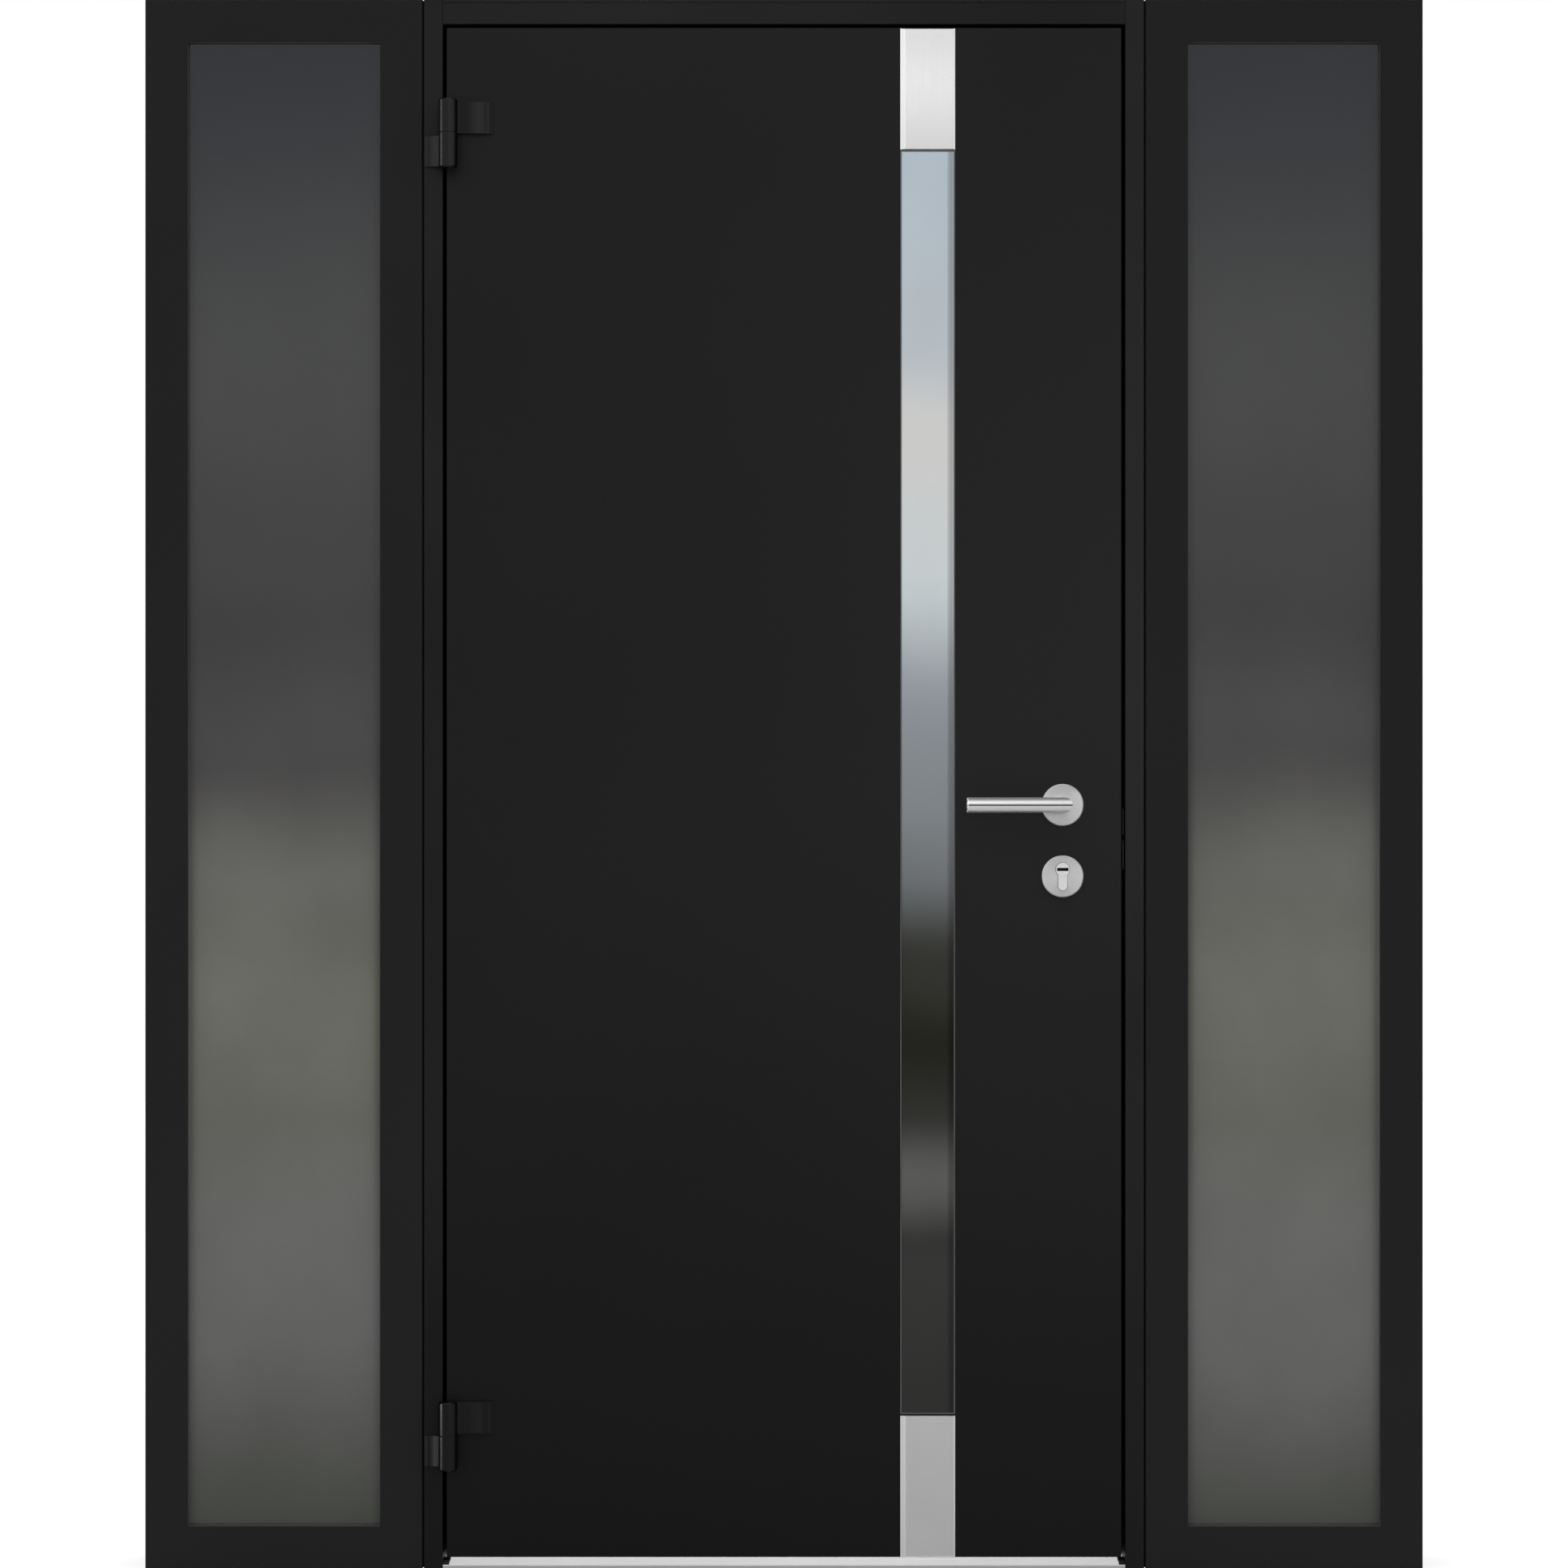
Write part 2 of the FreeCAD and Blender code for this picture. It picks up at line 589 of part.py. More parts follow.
node(
    box("riser_seal", ("-(%s)" % between, between), seal_depth,
        ("threshold_stop - seal_width", "threshold_stop - seal_margin")),
    "threshold_seal",
)
grooves = [
    box(name + "_groove", sorted_span(sign, "jamb_outer", "side_inner"),
        ("frame_front + joint_setback", "frame_back"), ("0", "overall_height"))
    for name, sign in (("left", -1), ("right", 1))
]
node(group("groove_seals", *grooves), "joint_seals")


# Sidelights: four mitred members round the glass, each with a lip in front of it.
def make_member(name, x, z, which):
    """One member of a rectangular frame. It is the lipped bar, cut to its mitres."""
    (left, right), (low, high) = x, z
    lip, leg = "member_face", "member_leg"
    if which in ("left", "right"):
        edge, way = (left, "+") if which == "left" else (right, "-")
        step = 1 if way == "+" else -1
        section = [
            *cut_corner(edge, "frame_front", (0, -1), (step, 0)),
            *cut_corner("%s %s %s" % (edge, way, lip), "frame_front", (step, 0), (0, 1)),
            ("%s %s %s" % (edge, way, lip), "lip_back"), ("%s %s %s" % (edge, way, leg), "lip_back"),
            ("%s %s %s" % (edge, way, leg), "frame_back"), (edge, "frame_back"),
        ]
        bar = prism(name + "_bar", "XY", [section], z)
        inner = "%s %s %s" % (edge, way, lip)
        mitre = [(edge, low), (inner, "%s + %s" % (low, lip)), (inner, "%s - %s" % (high, lip)), (edge, high)]
    else:
        edge, way = (low, "+") if which == "bottom" else (high, "-")
        step = 1 if way == "+" else -1
        section = [
            *cut_corner("frame_front", edge, (-1, 0), (0, step)),
            *cut_corner("frame_front", "%s %s %s" % (edge, way, lip), (0, step), (1, 0)),
            ("lip_back", "%s %s %s" % (edge, way, lip)), ("lip_back", "%s %s %s" % (edge, way, leg)),
            ("frame_back", "%s %s %s" % (edge, way, leg)), ("frame_back", edge),
        ]
        bar = prism(name + "_bar", "YZ", [section], x)
        inner = "%s %s %s" % (edge, way, lip)
        mitre = [(left, edge), ("%s + %s" % (left, lip), inner), ("%s - %s" % (right, lip), inner),
                 (right, edge)]
    shape = prism(name + "_mitres", "XZ", [mitre], ("frame_front", "frame_back"))
    return common(name + "_mitred", bar, shape)


def make_sidelight(side, sign):
    x = sorted_span(sign, "side_inner", "side_outer")
    z = ("0", "overall_height")
    near = {-1: "right", 1: "left"}[sign]
    far = {-1: "left", 1: "right"}[sign]
    prefix = side + "_sidelight_"
    node(make_member(prefix + "near", x, z, near), prefix + "inner_stile")
    anchors = [
        rod("%sanchor_%s" % (prefix, end), "X",
            ("%d * side_outer - member_leg" % sign, "anchor_depth", height),
            "anchor_radius", "2 * member_leg")
        for end, height in (("low", "anchor_end"), ("mid", "overall_height / 2"),
                            ("high", "overall_height - anchor_end"))
    ]
    stile = make_member(prefix + "far", x, z, far)
    node(cut(prefix + "far_drilled", stile, *anchors), prefix + "outer_stile")
    node(make_member(prefix + "top", x, z, "top"), prefix + "head")
    node(make_member(prefix + "base", x, z, "bottom"), prefix + "sill")

    glass_x, glass_z = inset(x, "glass_edge"), inset(z, "glass_edge")
    panes = [
        box("%s%s_pane" % (prefix, name), glass_x, depth, glass_z)
        for name, depth in (("outer", ("glass_front", "glass_mid_front")),
                            ("inner", ("glass_mid_back", "glass_back")))
    ]
    node(group(prefix + "panes", *panes), side + "_side_glass")
    spacer = frame_ring(prefix + "spacer_ring", glass_x, glass_z, "spacer_face",
                        ("glass_mid_front", "glass_mid_back"))
    gasket_x, gasket_z = inset(x, "member_face - gasket_width"), inset(z, "member_face - gasket_width")
    gaskets = [
        frame_ring("%s%s_gasket" % (prefix, name), gasket_x, gasket_z, "gasket_width", depth)
        for name, depth in (("outer", ("lip_back", "glass_front")), ("inner", ("glass_back", "bead_front")))
    ]
    node(group(prefix + "gaskets", *gaskets), side + "_glass_gaskets")
    bead = frame_ring(prefix + "bead_ring", inset(x, "member_leg"), inset(z, "member_leg"),
                      "member_face - member_leg", ("bead_front", "bead_back"))
    node(bead, side + "_glazing_bead")
    return spacer


spacers = [make_sidelight("left", -1), make_sidelight("right", 1)]
node(group("side_spacers", *spacers), "side_glass_spacers")


# Door leaf: two folded steel skins over a core, with a plastic band round the edges between them.
def whole_leaf(name, depth, margin, soft=None):
    return prism(name, "XY", [leaf_outline(depth, margin, soft)],
                 ("leaf_bottom + %s" % margin, "leaf_top - %s" % margin))


window = box("window", ("strip_left", "strip_right"), ("leaf_front", "leaf_back"),
             ("trim_bottom", "trim_top"))
spindle_bore = box(
    "spindle_bore", ("lever_side - spindle_hole / 2", "lever_side + spindle_hole / 2"),
    ("leaf_front", "leaf_back"), ("lever_height - spindle_hole / 2", "lever_height + spindle_hole / 2"),
)


def cylinder_shape(name, depth, play):
    """Round head and narrow leg of a lock cylinder, grown by a play all round."""
    front, back = depth
    length = "(%s) - (%s)" % (back, front)
    half = "(cylinder_leg / 2 + %s)" % play
    low = "cylinder_bottom + cylinder_leg / 2"
    return fuse(
        name,
        rod(name + "_head", "Y", ("lever_side", front, "plug_height"), "cylinder_head + %s" % play, length),
        rod(name + "_foot", "Y", ("lever_side", front, low), half, length),
        box(name + "_leg", ("lever_side - %s" % half, "lever_side + %s" % half), depth, (low, "plug_height")),
    )


cylinder_bore = cylinder_shape("cylinder_bore", ("leaf_front", "leaf_back"), "cylinder_play")


def forend_shape(name, thick):
    """The forend follows the slope of the lock edge."""
    front, back = "forend_front", "forend_back"
    outline = [
        ("%s - %s" % (lock_edge(front), thick), front), (lock_edge(front), front),
        (lock_edge(back), back), ("%s - %s" % (lock_edge(back), thick), back),
    ]
    return prism(name, "XY", [outline], ("forend_bottom", "forend_top"))


case_depth = ("leaf_mid - case_thick / 2", "leaf_mid + case_thick / 2")
case_outer = "%s - forend_thick" % lock_edge("leaf_mid + case_thick / 2")
case_x = ("leaf_right - case_depth", case_outer)
case_space = box("case_space", case_x, case_depth, ("case_bottom", "case_top"))
forend_space = forend_shape("forend_space", "forend_thick")
case_gap = prism(
    "case_gap", "XY",
    [[(case_outer, case_depth[0]), ("%s - forend_thick" % lock_edge(case_depth[0]), case_depth[0]),
      (case_outer, case_depth[1])]],
    ("case_bottom", "case_top"),
)

skin_inside = whole_leaf("skin_inside", ("leaf_front + skin_thick", "leaf_back - skin_thick"), "skin_thick")
for name, depth, soft in (("outer", ("leaf_front", "return_front"), "front"),
                          ("inner", ("return_back", "leaf_back"), "back")):
    blank = whole_leaf(name + "_skin_blank", depth, "0", soft)
    node(cut(name + "_skin_cut", blank, skin_inside, window, spindle_bore, cylinder_bore), name + "_skin")
band = whole_leaf("band_blank", ("return_front", "return_back"), "0")
node(cut("band_cut", band, skin_inside, forend_space), "edge_band")
core_pocket = box(
    "core_pocket",
    ("lever_side - cylinder_head - cylinder_play", "lever_side + cylinder_head + cylinder_play"),
    ("leaf_front", "leaf_back"), ("cylinder_bottom - cylinder_play", "lever_height + spindle_hole / 2"),
)
core_blank = whole_leaf("core_blank", ("leaf_front + skin_thick", "leaf_back - skin_thick"), "skin_thick")
node(
    cut("core_cut", core_blank, window, core_pocket, forend_space, case_space, case_gap),
    "leaf_core",
)

# The strip: three panes in a sleeve of thin trim, with metal inserts above and below.
pane_x = inset(("strip_left", "strip_right"), "trim_wall")
pane_z = inset(("trim_bottom", "trim_top"), "trim_wall")
pane_front = "leaf_front + pane_setback"
pane_back = "leaf_back - pane_setback"
middle = ("leaf_mid - middle_pane / 2", "leaf_mid + middle_pane / 2")
strip_panes = [
    box("strip_outer_pane", pane_x, (pane_front, pane_front + " + strip_pane"), pane_z),
    box("strip_middle_pane", pane_x, middle, pane_z),
    box("strip_inner_pane", pane_x, (pane_back + " - strip_pane", pane_back), pane_z),
]
node(group("strip_panes", *strip_panes), "strip_glass")
strip_rings = [
    frame_ring("strip_outer_ring", pane_x, pane_z, "spacer_face", (pane_front + " + strip_pane", middle[0])),
    frame_ring("strip_inner_ring", pane_x, pane_z, "spacer_face", (middle[1], pane_back + " - strip_pane")),
]
node(group("strip_rings", *strip_rings), "strip_spacers")
for name, depth in (("outer", ("leaf_front - trim_proud", "leaf_mid")),
                    ("inner", ("leaf_mid", "leaf_back + trim_proud"))):
    trim = frame_ring(name + "_trim_ring", ("strip_left", "strip_right"), ("trim_bottom", "trim_top"),
                      "trim_wall", depth)
    node(trim, name + "_strip_trim")


def make_insert(name, outside, z):
    """A metal plate with bevelled edges. Its edge towards the hinges is rolled."""
    def at(height):
        return "leaf_front - (%s)" % height if outside else "leaf_back + %s" % height

    low, high = z
    face, edge = at("insert_thick"), at("insert_edge")
    plan = [
        ("strip_left", at("0")), ("strip_left", edge),
        ("strip_left + insert_bevel", at("(insert_thick - roll_drop)")),
        ("strip_left + insert_roll", face), ("strip_right - insert_bevel", face), ("strip_right", edge),
        ("strip_right", at("0")),
    ]
    side = [
        (at("0"), low), (edge, low), (face, "%s + insert_end" % low), (face, "%s - insert_end" % high),
        (edge, high), (at("0"), high),
    ]
    return common(name, prism(name + "_plan", "XY", [plan], z),
                  prism(name + "_side", "YZ", [side], ("strip_left", "strip_right")))


top_span = ("insert_top_end", "insert_top")
bottom_span = ("insert_bottom", "insert_bottom_end")
node(make_insert("outer_top", True, top_span), "outer_top_insert")
node(make_insert("outer_bottom", True, bottom_span), "outer_bottom_insert")
node(
    group("inner_plates", make_insert("inner_top", False, top_span),
          make_insert("inner_bottom", False, bottom_span)),
    "inner_inserts",
)


# Lift-off hinges: the leaf's half sits on a pin held by the frame's half.
def wing_point(sign, side, height):
    """A place beside the hinge axis, at a height off the face of the leaf."""
    return ("hinge_side + %d * (%s)" % (sign, side), "leaf_front - (%s)" % height)


def leaf_wing_outline():
    """The wing seen from above: hollow beside the knuckle, then crowned, with a bevelled end."""
    bevel = "leaf_wing - wing_bevel"
    return [
        wing_point(1, "root_side", "root_height") + ("hollow_radius", 1),
        wing_point(1, "hollow_side", "hollow_height") + ("crown_radius", -1),
        wing_point(1, bevel, "wing_height"),
        wing_point(1, "leaf_wing", "wing_end"),
        wing_point(1, "leaf_wing", "0"),
        wing_point(1, "knuckle_radius / 2", "0"),
        wing_point(1, "knuckle_radius / 2", "root_height"),
    ]


def frame_wing_outline():
    """The shorter wing sweeps down from the knuckle to the jamb."""
    bevel = "frame_wing - wing_bevel"
    return [
        wing_point(-1, "root_side", "root_height") + ("sweep_radius", -1),
        wing_point(-1, bevel, "wing_height"),
        wing_point(-1, "frame_wing", "wing_end"),
        wing_point(-1, "frame_wing", "0"),
        wing_point(-1, "knuckle_radius / 2 + hinge_offset", "0"),
        wing_point(-1, "knuckle_radius / 2 + hinge_offset", "root_height"),
    ]


def make_knuckle(name, low, high, edges):
    """A round barrel between two heights, with a chamfer at the ends that edges names."""
    x, y = "hinge_side", "hinge_depth"
    small = "knuckle_radius - knuckle_edge"
    pieces = []
    if "low" in edges:
        pieces.append(taper(name + "_foot", "Z", (x, y, low), small, "knuckle_radius", "knuckle_edge"))
        low = "%s + knuckle_edge" % low
    if "high" in edges:
        high = "%s - knuckle_edge" % high
        pieces.append(taper(name + "_crown", "Z", (x, y, high), "knuckle_radius", small, "knuckle_edge"))
    pieces.append(rod(name + "_barrel", "Z", (x, y, low), "knuckle_radius", "%s - (%s)" % (high, low)))
    return pieces


def make_hinge(name, split):
    x, y = "hinge_side", "hinge_depth"
    low = "%s + collar_thick + knuckle_play" % split
    high = "%s + knuckle_length" % split
    leaf_half = fuse(
        name + "_leaf_half",
        *make_knuckle(name + "_leaf_knuckle", low, high, ("high",)),
        prism(name + "_leaf_wing", "XY", [leaf_wing_outline()], (low, "%s - knuckle_edge" % high)),
    )
    leaf_bore = rod(name + "_leaf_bore", "Z", (x, y, split), "pin_radius + pin_play", "pin_reach + pin_tip")
    node(cut(name + "_leaf_bored", leaf_half, leaf_bore), name + "_hinge_leaf_half")

    bottom = "%s - knuckle_length" % split
    frame_half = fuse(
        name + "_frame_half",
        *make_knuckle(name + "_frame_knuckle", bottom, split, ("low",)),
        prism(name + "_frame_wing", "XY", [frame_wing_outline()],
              ("%s + wing_margin" % bottom, "%s - knuckle_edge" % split)),
    )
    frame_bore = rod(name + "_frame_bore", "Z", (x, y, "%s - pin_reach - pin_tip" % split),
                     "pin_radius + pin_press", "pin_reach + pin_tip")
    node(cut(name + "_frame_bored", frame_half, frame_bore), name + "_hinge_frame_half")
    return fuse(
        name + "_pin",
        rod(name + "_pin_rod", "Z", (x, y, "%s - pin_reach" % split), "pin_radius", "2 * pin_reach"),
        rod(name + "_pin_collar", "Z", (x, y, split), "knuckle_radius - collar_inset", "collar_thick"),
    )


pins = [make_hinge("upper", "upper_split"), make_hinge("lower", "lower_split")]
node(group("pins", *pins), "hinge_pins")

# Lock: forend, case and bolts in the edge of the leaf.
forend_holes = [
    bolt_space("forend_" + bolt, ("leaf_right - lock_bevel - forend_thick", "leaf_right"),
               height, high, thick, "bolt_play")
    for bolt, height, high, thick in BOLTS
]
node(cut("forend_cut", forend_shape("forend_blank", "forend_thick"), *forend_holes), "lock_forend")
case_bolts = [
    bolt_space("case_" + bolt, ("%s - bolt_inside - bolt_play" % lock_edge("leaf_mid"), "leaf_right"),
               height, high, thick, "bolt_play")
    for bolt, height, high, thick in BOLTS
]
case_block = box("case_block", case_x, case_depth, ("case_bottom", "case_top"))
node(cut("case_cut", case_block, spindle_bore, cylinder_bore, *case_bolts), "lock_case")
bolts = [
    bolt_space(bolt, ("%s - bolt_inside" % lock_edge("leaf_mid"), lock_edge("forend_back")),
               height, high, thick, "0")
    for bolt, height, high, thick in BOLTS
]
node(group("bolts", *bolts), "lock_bolts")


# Roses, levers and the lock cylinder, on both faces of the leaf.
def make_rose(name, outside, height, hole):
    way = "-Y" if outside else "Y"
    face = "leaf_front" if outside else "leaf_back"
    sign = "-" if outside else "+"
    shoulder = "%s %s (rose_thick - rose_edge)" % (face, sign)
    plate = fuse(
        name + "_blank",
        rod(name + "_disc", way, ("lever_side", face, height), "rose_radius", "rose_thick - rose_edge"),
        taper(name + "_edge", way, ("lever_side", shoulder, height), "rose_radius",
              "rose_radius - rose_edge", "rose_edge"),
    )
    return cut(name + "_cut", plate, hole)


def make_lever(name, outside):
    """A round bar with a mitred corner, swept along the neck and then towards the hinges."""
    face = "leaf_front" if outside else "leaf_back"
    sign = "-" if outside else "+"
    start = "%s %s neck_start" % (face, sign)
    bar = "%s %s lever_stand" % (face, sign)
    end = "lever_side - lever_length"
    path = doc.addObject("Sketcher::SketchObject", name + "_path")
    path.setExpression("Placement.Base.z", link("lever_height"))
    corners = [("lever_side", start), ("lever_side", bar), (end + " + lever_edge", bar)]
    points = [Vector(number(u), number(v), 0) for u, v in corners]
    edges = [path.addGeometry(Part.LineSegment(points[i], points[i + 1]), False) for i in (0, 1)]
    path.addConstraint(Sketcher.Constraint("Coincident", edges[0], 2, edges[1], 1))
    for edge, point, corner in ((edges[0], 1, 0), (edges[1], 1, 1), (edges[1], 2, 2)):
        for kind, text, value in (
            ("DistanceX", corners[corner][0], points[corner].x),
            ("DistanceY", corners[corner][1], points[corner].y),
        ):
            hold = path.addConstraint(Sketcher.Constraint(kind, -1, 1, edge, point, value))
            path.setExpression("Constraints[%d]" % hold, link(text))
    section = doc.addObject("Part::Circle", name + "_section")
    section.Placement = FreeCAD.Placement(Vector(), TURNS["-Y"])
    place(section, "lever_side", start, "lever_height")
    section.setExpression("Radius", link("lever_radius"))
    sweep = doc.addObject("Part::Sweep", name + "_bar")
    sweep.Sections = [section]
    sweep.Spine = (path, ["Edge1", "Edge2"])
    sweep.Solid = True
    sweep.Transition = "Right corner"
    tip = taper(name + "_tip", "-X", (end + " + lever_edge", bar, "lever_height"), "lever_radius",
                "lever_radius - lever_edge", "lever_edge")
    socket_end = "%s %s socket_depth" % (face, sign)
    depth = (socket_end, start) if outside else (start, socket_end)
    half = "(spindle_side / 2 + spindle_play)"
    socket = box(name + "_socket", ("lever_side - " + half, "lever_side + " + half), depth,
                 ("lever_height - " + half, "lever_height + " + half))
    return cut(name + "_whole", fuse(name + "_bar_tip", sweep, tip), socket)


rose_holes = {
    "outer": (("leaf_front - rose_thick", "leaf_front"), "leaf_front - rose_thick"),
    "inner": (("leaf_back", "leaf_back + rose_thick"), "leaf_back"),
}
rose_nodes = {}
for name, outside in (("outer", True), ("inner", False)):
    depth, hole_start = rose_holes[name]
    neck_hole = rod(name + "_neck_hole", "Y", ("lever_side", hole_start, "lever_height"),
                    "lever_radius + neck_play", "rose_thick")
    key_hole = cylinder_shape(name + "_key_hole", depth, "cylinder_play")
    rose_nodes[name] = (
        make_rose(name + "_lever_rose", outside, "lever_height", neck_hole),
        make_rose(name + "_key_rose", outside, "cylinder_middle", key_hole),
    )
node(rose_nodes["outer"][0], "outer_lever_rose")
node(rose_nodes["outer"][1], "outer_cylinder_rose")
node(group("inner_rose_pair", *rose_nodes["inner"]), "inner_roses")
node(make_lever("outer_handle", True), "outer_lever")
node(make_lever("inner_handle", False), "inner_lever")
spindle_half = "spindle_side / 2"
node(
    box("spindle", ("lever_side - " + spindle_half, "lever_side + " + spindle_half),
        ("leaf_front - socket_depth + neck_start", "leaf_back + socket_depth - neck_start"),
        ("lever_height - " + spindle_half, "lever_height + " + spindle_half)),
    "lever_spindle",
)
cylinder_face = "leaf_front - rose_thick - cylinder_proud"
cylinder_span = (cylinder_face, "leaf_back + rose_thick + cylinder_proud")
plug_bore = rod("plug_bore", "Y", ("lever_side", cylinder_face, "plug_height"), "plug_radius",
                "plug_length + plug_proud")
inner_slot = box("inner_slot", ("lever_side - slot_long / 2", "lever_side + slot_long / 2"),
                 (cylinder_span[1] + " - slot_deep", cylinder_span[1]),
                 ("plug_height - slot_high / 2", "plug_height + slot_high / 2"))
node(cut("cylinder_cut", cylinder_shape("cylinder_blank", cylinder_span, "0"), plug_bore, inner_slot),
     "lock_cylinder")
plug_face = cylinder_face + " - plug_proud"
plug = rod("plug_blank", "Y", ("lever_side", plug_face, "plug_height"), "plug_radius - plug_play",
           "plug_length")
plug_slot = box("plug_slot", ("lever_side - slot_long / 2", "lever_side + slot_long / 2"),
                (plug_face, plug_face + " + slot_deep"),
                ("plug_height - slot_high / 2", "plug_height + slot_high / 2"))
node(cut("plug_cut", plug, plug_slot), "key_plug")

doc.recompute()

faults = []
for item in doc.Objects:
    if "Invalid" in item.State or "Error" in item.State:
        faults.append("%s: %s" % (item.Name, item.State))
for piece in nodes:
    if piece.Shape.isNull() or not piece.Shape.isValid():
        faults.append(piece.Label + " has no valid shape")
if faults:
    raise RuntimeError("; ".join(faults))

os.makedirs("parts", exist_ok=True)
for piece in nodes:
    piece.Shape.exportStep("parts/" + piece.Label + ".step")
    print("%-32s %d solid(s), %.1f cm3" % (piece.Label, len(piece.Shape.Solids), piece.Shape.Volume / 1000))
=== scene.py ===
import math

import bpy
from mathutils import Euler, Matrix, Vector


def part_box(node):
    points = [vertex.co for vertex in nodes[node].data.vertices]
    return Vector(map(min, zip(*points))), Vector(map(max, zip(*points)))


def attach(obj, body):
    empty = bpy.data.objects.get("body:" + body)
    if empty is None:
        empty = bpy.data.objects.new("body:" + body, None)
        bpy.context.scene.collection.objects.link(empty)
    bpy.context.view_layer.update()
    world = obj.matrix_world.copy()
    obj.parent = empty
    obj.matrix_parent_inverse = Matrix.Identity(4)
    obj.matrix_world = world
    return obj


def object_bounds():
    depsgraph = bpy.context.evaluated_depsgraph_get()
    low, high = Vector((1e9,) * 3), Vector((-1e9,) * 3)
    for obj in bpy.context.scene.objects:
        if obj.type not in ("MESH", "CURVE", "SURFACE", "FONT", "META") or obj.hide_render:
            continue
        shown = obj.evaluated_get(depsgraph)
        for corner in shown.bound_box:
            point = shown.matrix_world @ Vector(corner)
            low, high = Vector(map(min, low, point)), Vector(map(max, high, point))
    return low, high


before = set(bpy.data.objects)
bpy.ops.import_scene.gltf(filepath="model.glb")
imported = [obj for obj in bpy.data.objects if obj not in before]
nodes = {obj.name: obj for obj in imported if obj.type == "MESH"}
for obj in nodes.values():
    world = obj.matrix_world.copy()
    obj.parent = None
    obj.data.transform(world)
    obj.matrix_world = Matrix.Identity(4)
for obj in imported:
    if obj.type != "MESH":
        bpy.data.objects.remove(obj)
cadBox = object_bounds()
scene = bpy.context.scene
print("frame loaded:", len(nodes), "pieces")

view = {
    "faceDepth": -0.05,      # outer face of the door frame
    "distance": 6.0,         # from that face to the camera
    "height": 1.035,         # middle of the door
    "pictureHeight": 2.068,  # what the picture covers at that face
    "sensor": 36.0,
    "farClip": 60.0,
}


def makeCamera():
    lens = bpy.data.cameras.new("doorCamera")
    lens.sensor_width = view["sensor"]
    lens.lens = view["sensor"] * view["distance"] / view["pictureHeight"]
    lens.clip_end = view["farClip"]
    camera = bpy.data.objects.new("doorCamera", lens)
    camera.location = (0, view["faceDepth"] - view["distance"], view["height"])
    camera.rotation_euler = (math.radians(90), 0, 0)    # level, looking inwards
    scene.collection.objects.link(camera)
    scene.camera = camera


# Node trees

def addNode(tree, kind, inputs=None, **settings):
    # a new node; each input is a value or another node's output
    node = tree.nodes.new(kind)
    for key, value in settings.items():
        setattr(node, key, value)
    for key, value in (inputs or {}).items():
        if isinstance(value, bpy.types.NodeSocket):
            tree.links.new(value, node.inputs[key])
        else:
            node.inputs[key].default_value = value
    return node


def maths(tree, operation, *values):
    return addNode(tree, "ShaderNodeMath", dict(enumerate(values)), operation=operation).outputs[0]


def vectorMaths(tree, operation, *values):
    return addNode(tree, "ShaderNodeVectorMath", dict(enumerate(values)), operation=operation).outputs[0]


def scaled(tree, colour, factor):
    return addNode(tree, "ShaderNodeVectorMath", {0: colour, "Scale": factor}, operation="SCALE").outputs[0]


def distance(tree, place):
    return addNode(tree, "ShaderNodeVectorMath", {0: place}, operation="LENGTH").outputs["Value"]


def objectPlace(tree, scale=(1, 1, 1), centre=(0, 0, 0)):
    # where the point is on the piece, in metres, stretched by scale round a centre
    place = addNode(tree, "ShaderNodeTexCoord").outputs["Object"]
    moved = vectorMaths(tree, "SUBTRACT", place, centre)
    return addNode(tree, "ShaderNodeMapping", {"Vector": moved, "Scale": scale}).outputs[0]


def placeAlong(tree, axis):
    return addNode(tree, "ShaderNodeSeparateXYZ", {0: objectPlace(tree)}).outputs[axis]


def mapRange(tree, value, given, wanted=(0.0, 1.0), **settings):
    # a value in the given range becomes one in the wanted range, and stays inside it
    inputs = {"Value": value, "From Min": given[0], "From Max": given[1]}
    inputs.update({"To Min": wanted[0], "To Max": wanted[1]})
    return addNode(tree, "ShaderNodeMapRange", inputs, **settings).outputs[0]


def between(tree, factor, low, high):
    # a factor from 0 to 1 becomes a value from low to high
    return mapRange(tree, factor, (0.0, 1.0), (low, high))


def noise(tree, place, scale, detail=2.0, roughness=0.5):
    inputs = {"Vector": place, "Scale": scale, "Detail": detail, "Roughness": roughness}
    return addNode(tree, "ShaderNodeTexNoise", inputs).outputs[0]


def ramp(tree, factor, stops, interpolation="LINEAR"):
    # a colour ramp with (place, colour) stops
    node = addNode(tree, "ShaderNodeValToRGB", {"Fac": factor})
    band = node.color_ramp
    band.interpolation = interpolation
    while len(band.elements) < len(stops):
        band.elements.new(1.0)
    for element, (place, colour) in zip(band.elements, stops):
        element.position = place
        element.color = (*colour, 1)
    return node.outputs["Color"]


def greys(stops):
    return [(place, (tone,) * 3) for place, tone in stops]


def fade(tree, colour, axis, span, tones):
    # a soft change of tone between two places along an axis
    soft = ramp(tree, mapRange(tree, placeAlong(tree, axis), span), greys(tones), "EASE")
    return vectorMaths(tree, "MULTIPLY", colour, soft)


def mixColours(tree, factor, first, second):
    inputs = {"Factor": factor, 6: first, 7: second}
    return addNode(tree, "ShaderNodeMix", inputs, data_type="RGBA").outputs[2]


def blend(tree, first, second, share):
    # two patterns added up, the first with the share given
    parts = [maths(tree, "MULTIPLY", first, share), maths(tree, "MULTIPLY", second, 1 - share)]
    return maths(tree, "ADD", *parts)


def twoTones(tree, pattern, look, span):
    # dark up to the first value of the span, light from the second
    return ramp(tree, pattern, [(span[0], look["dark"]), (span[1], look["light"])])


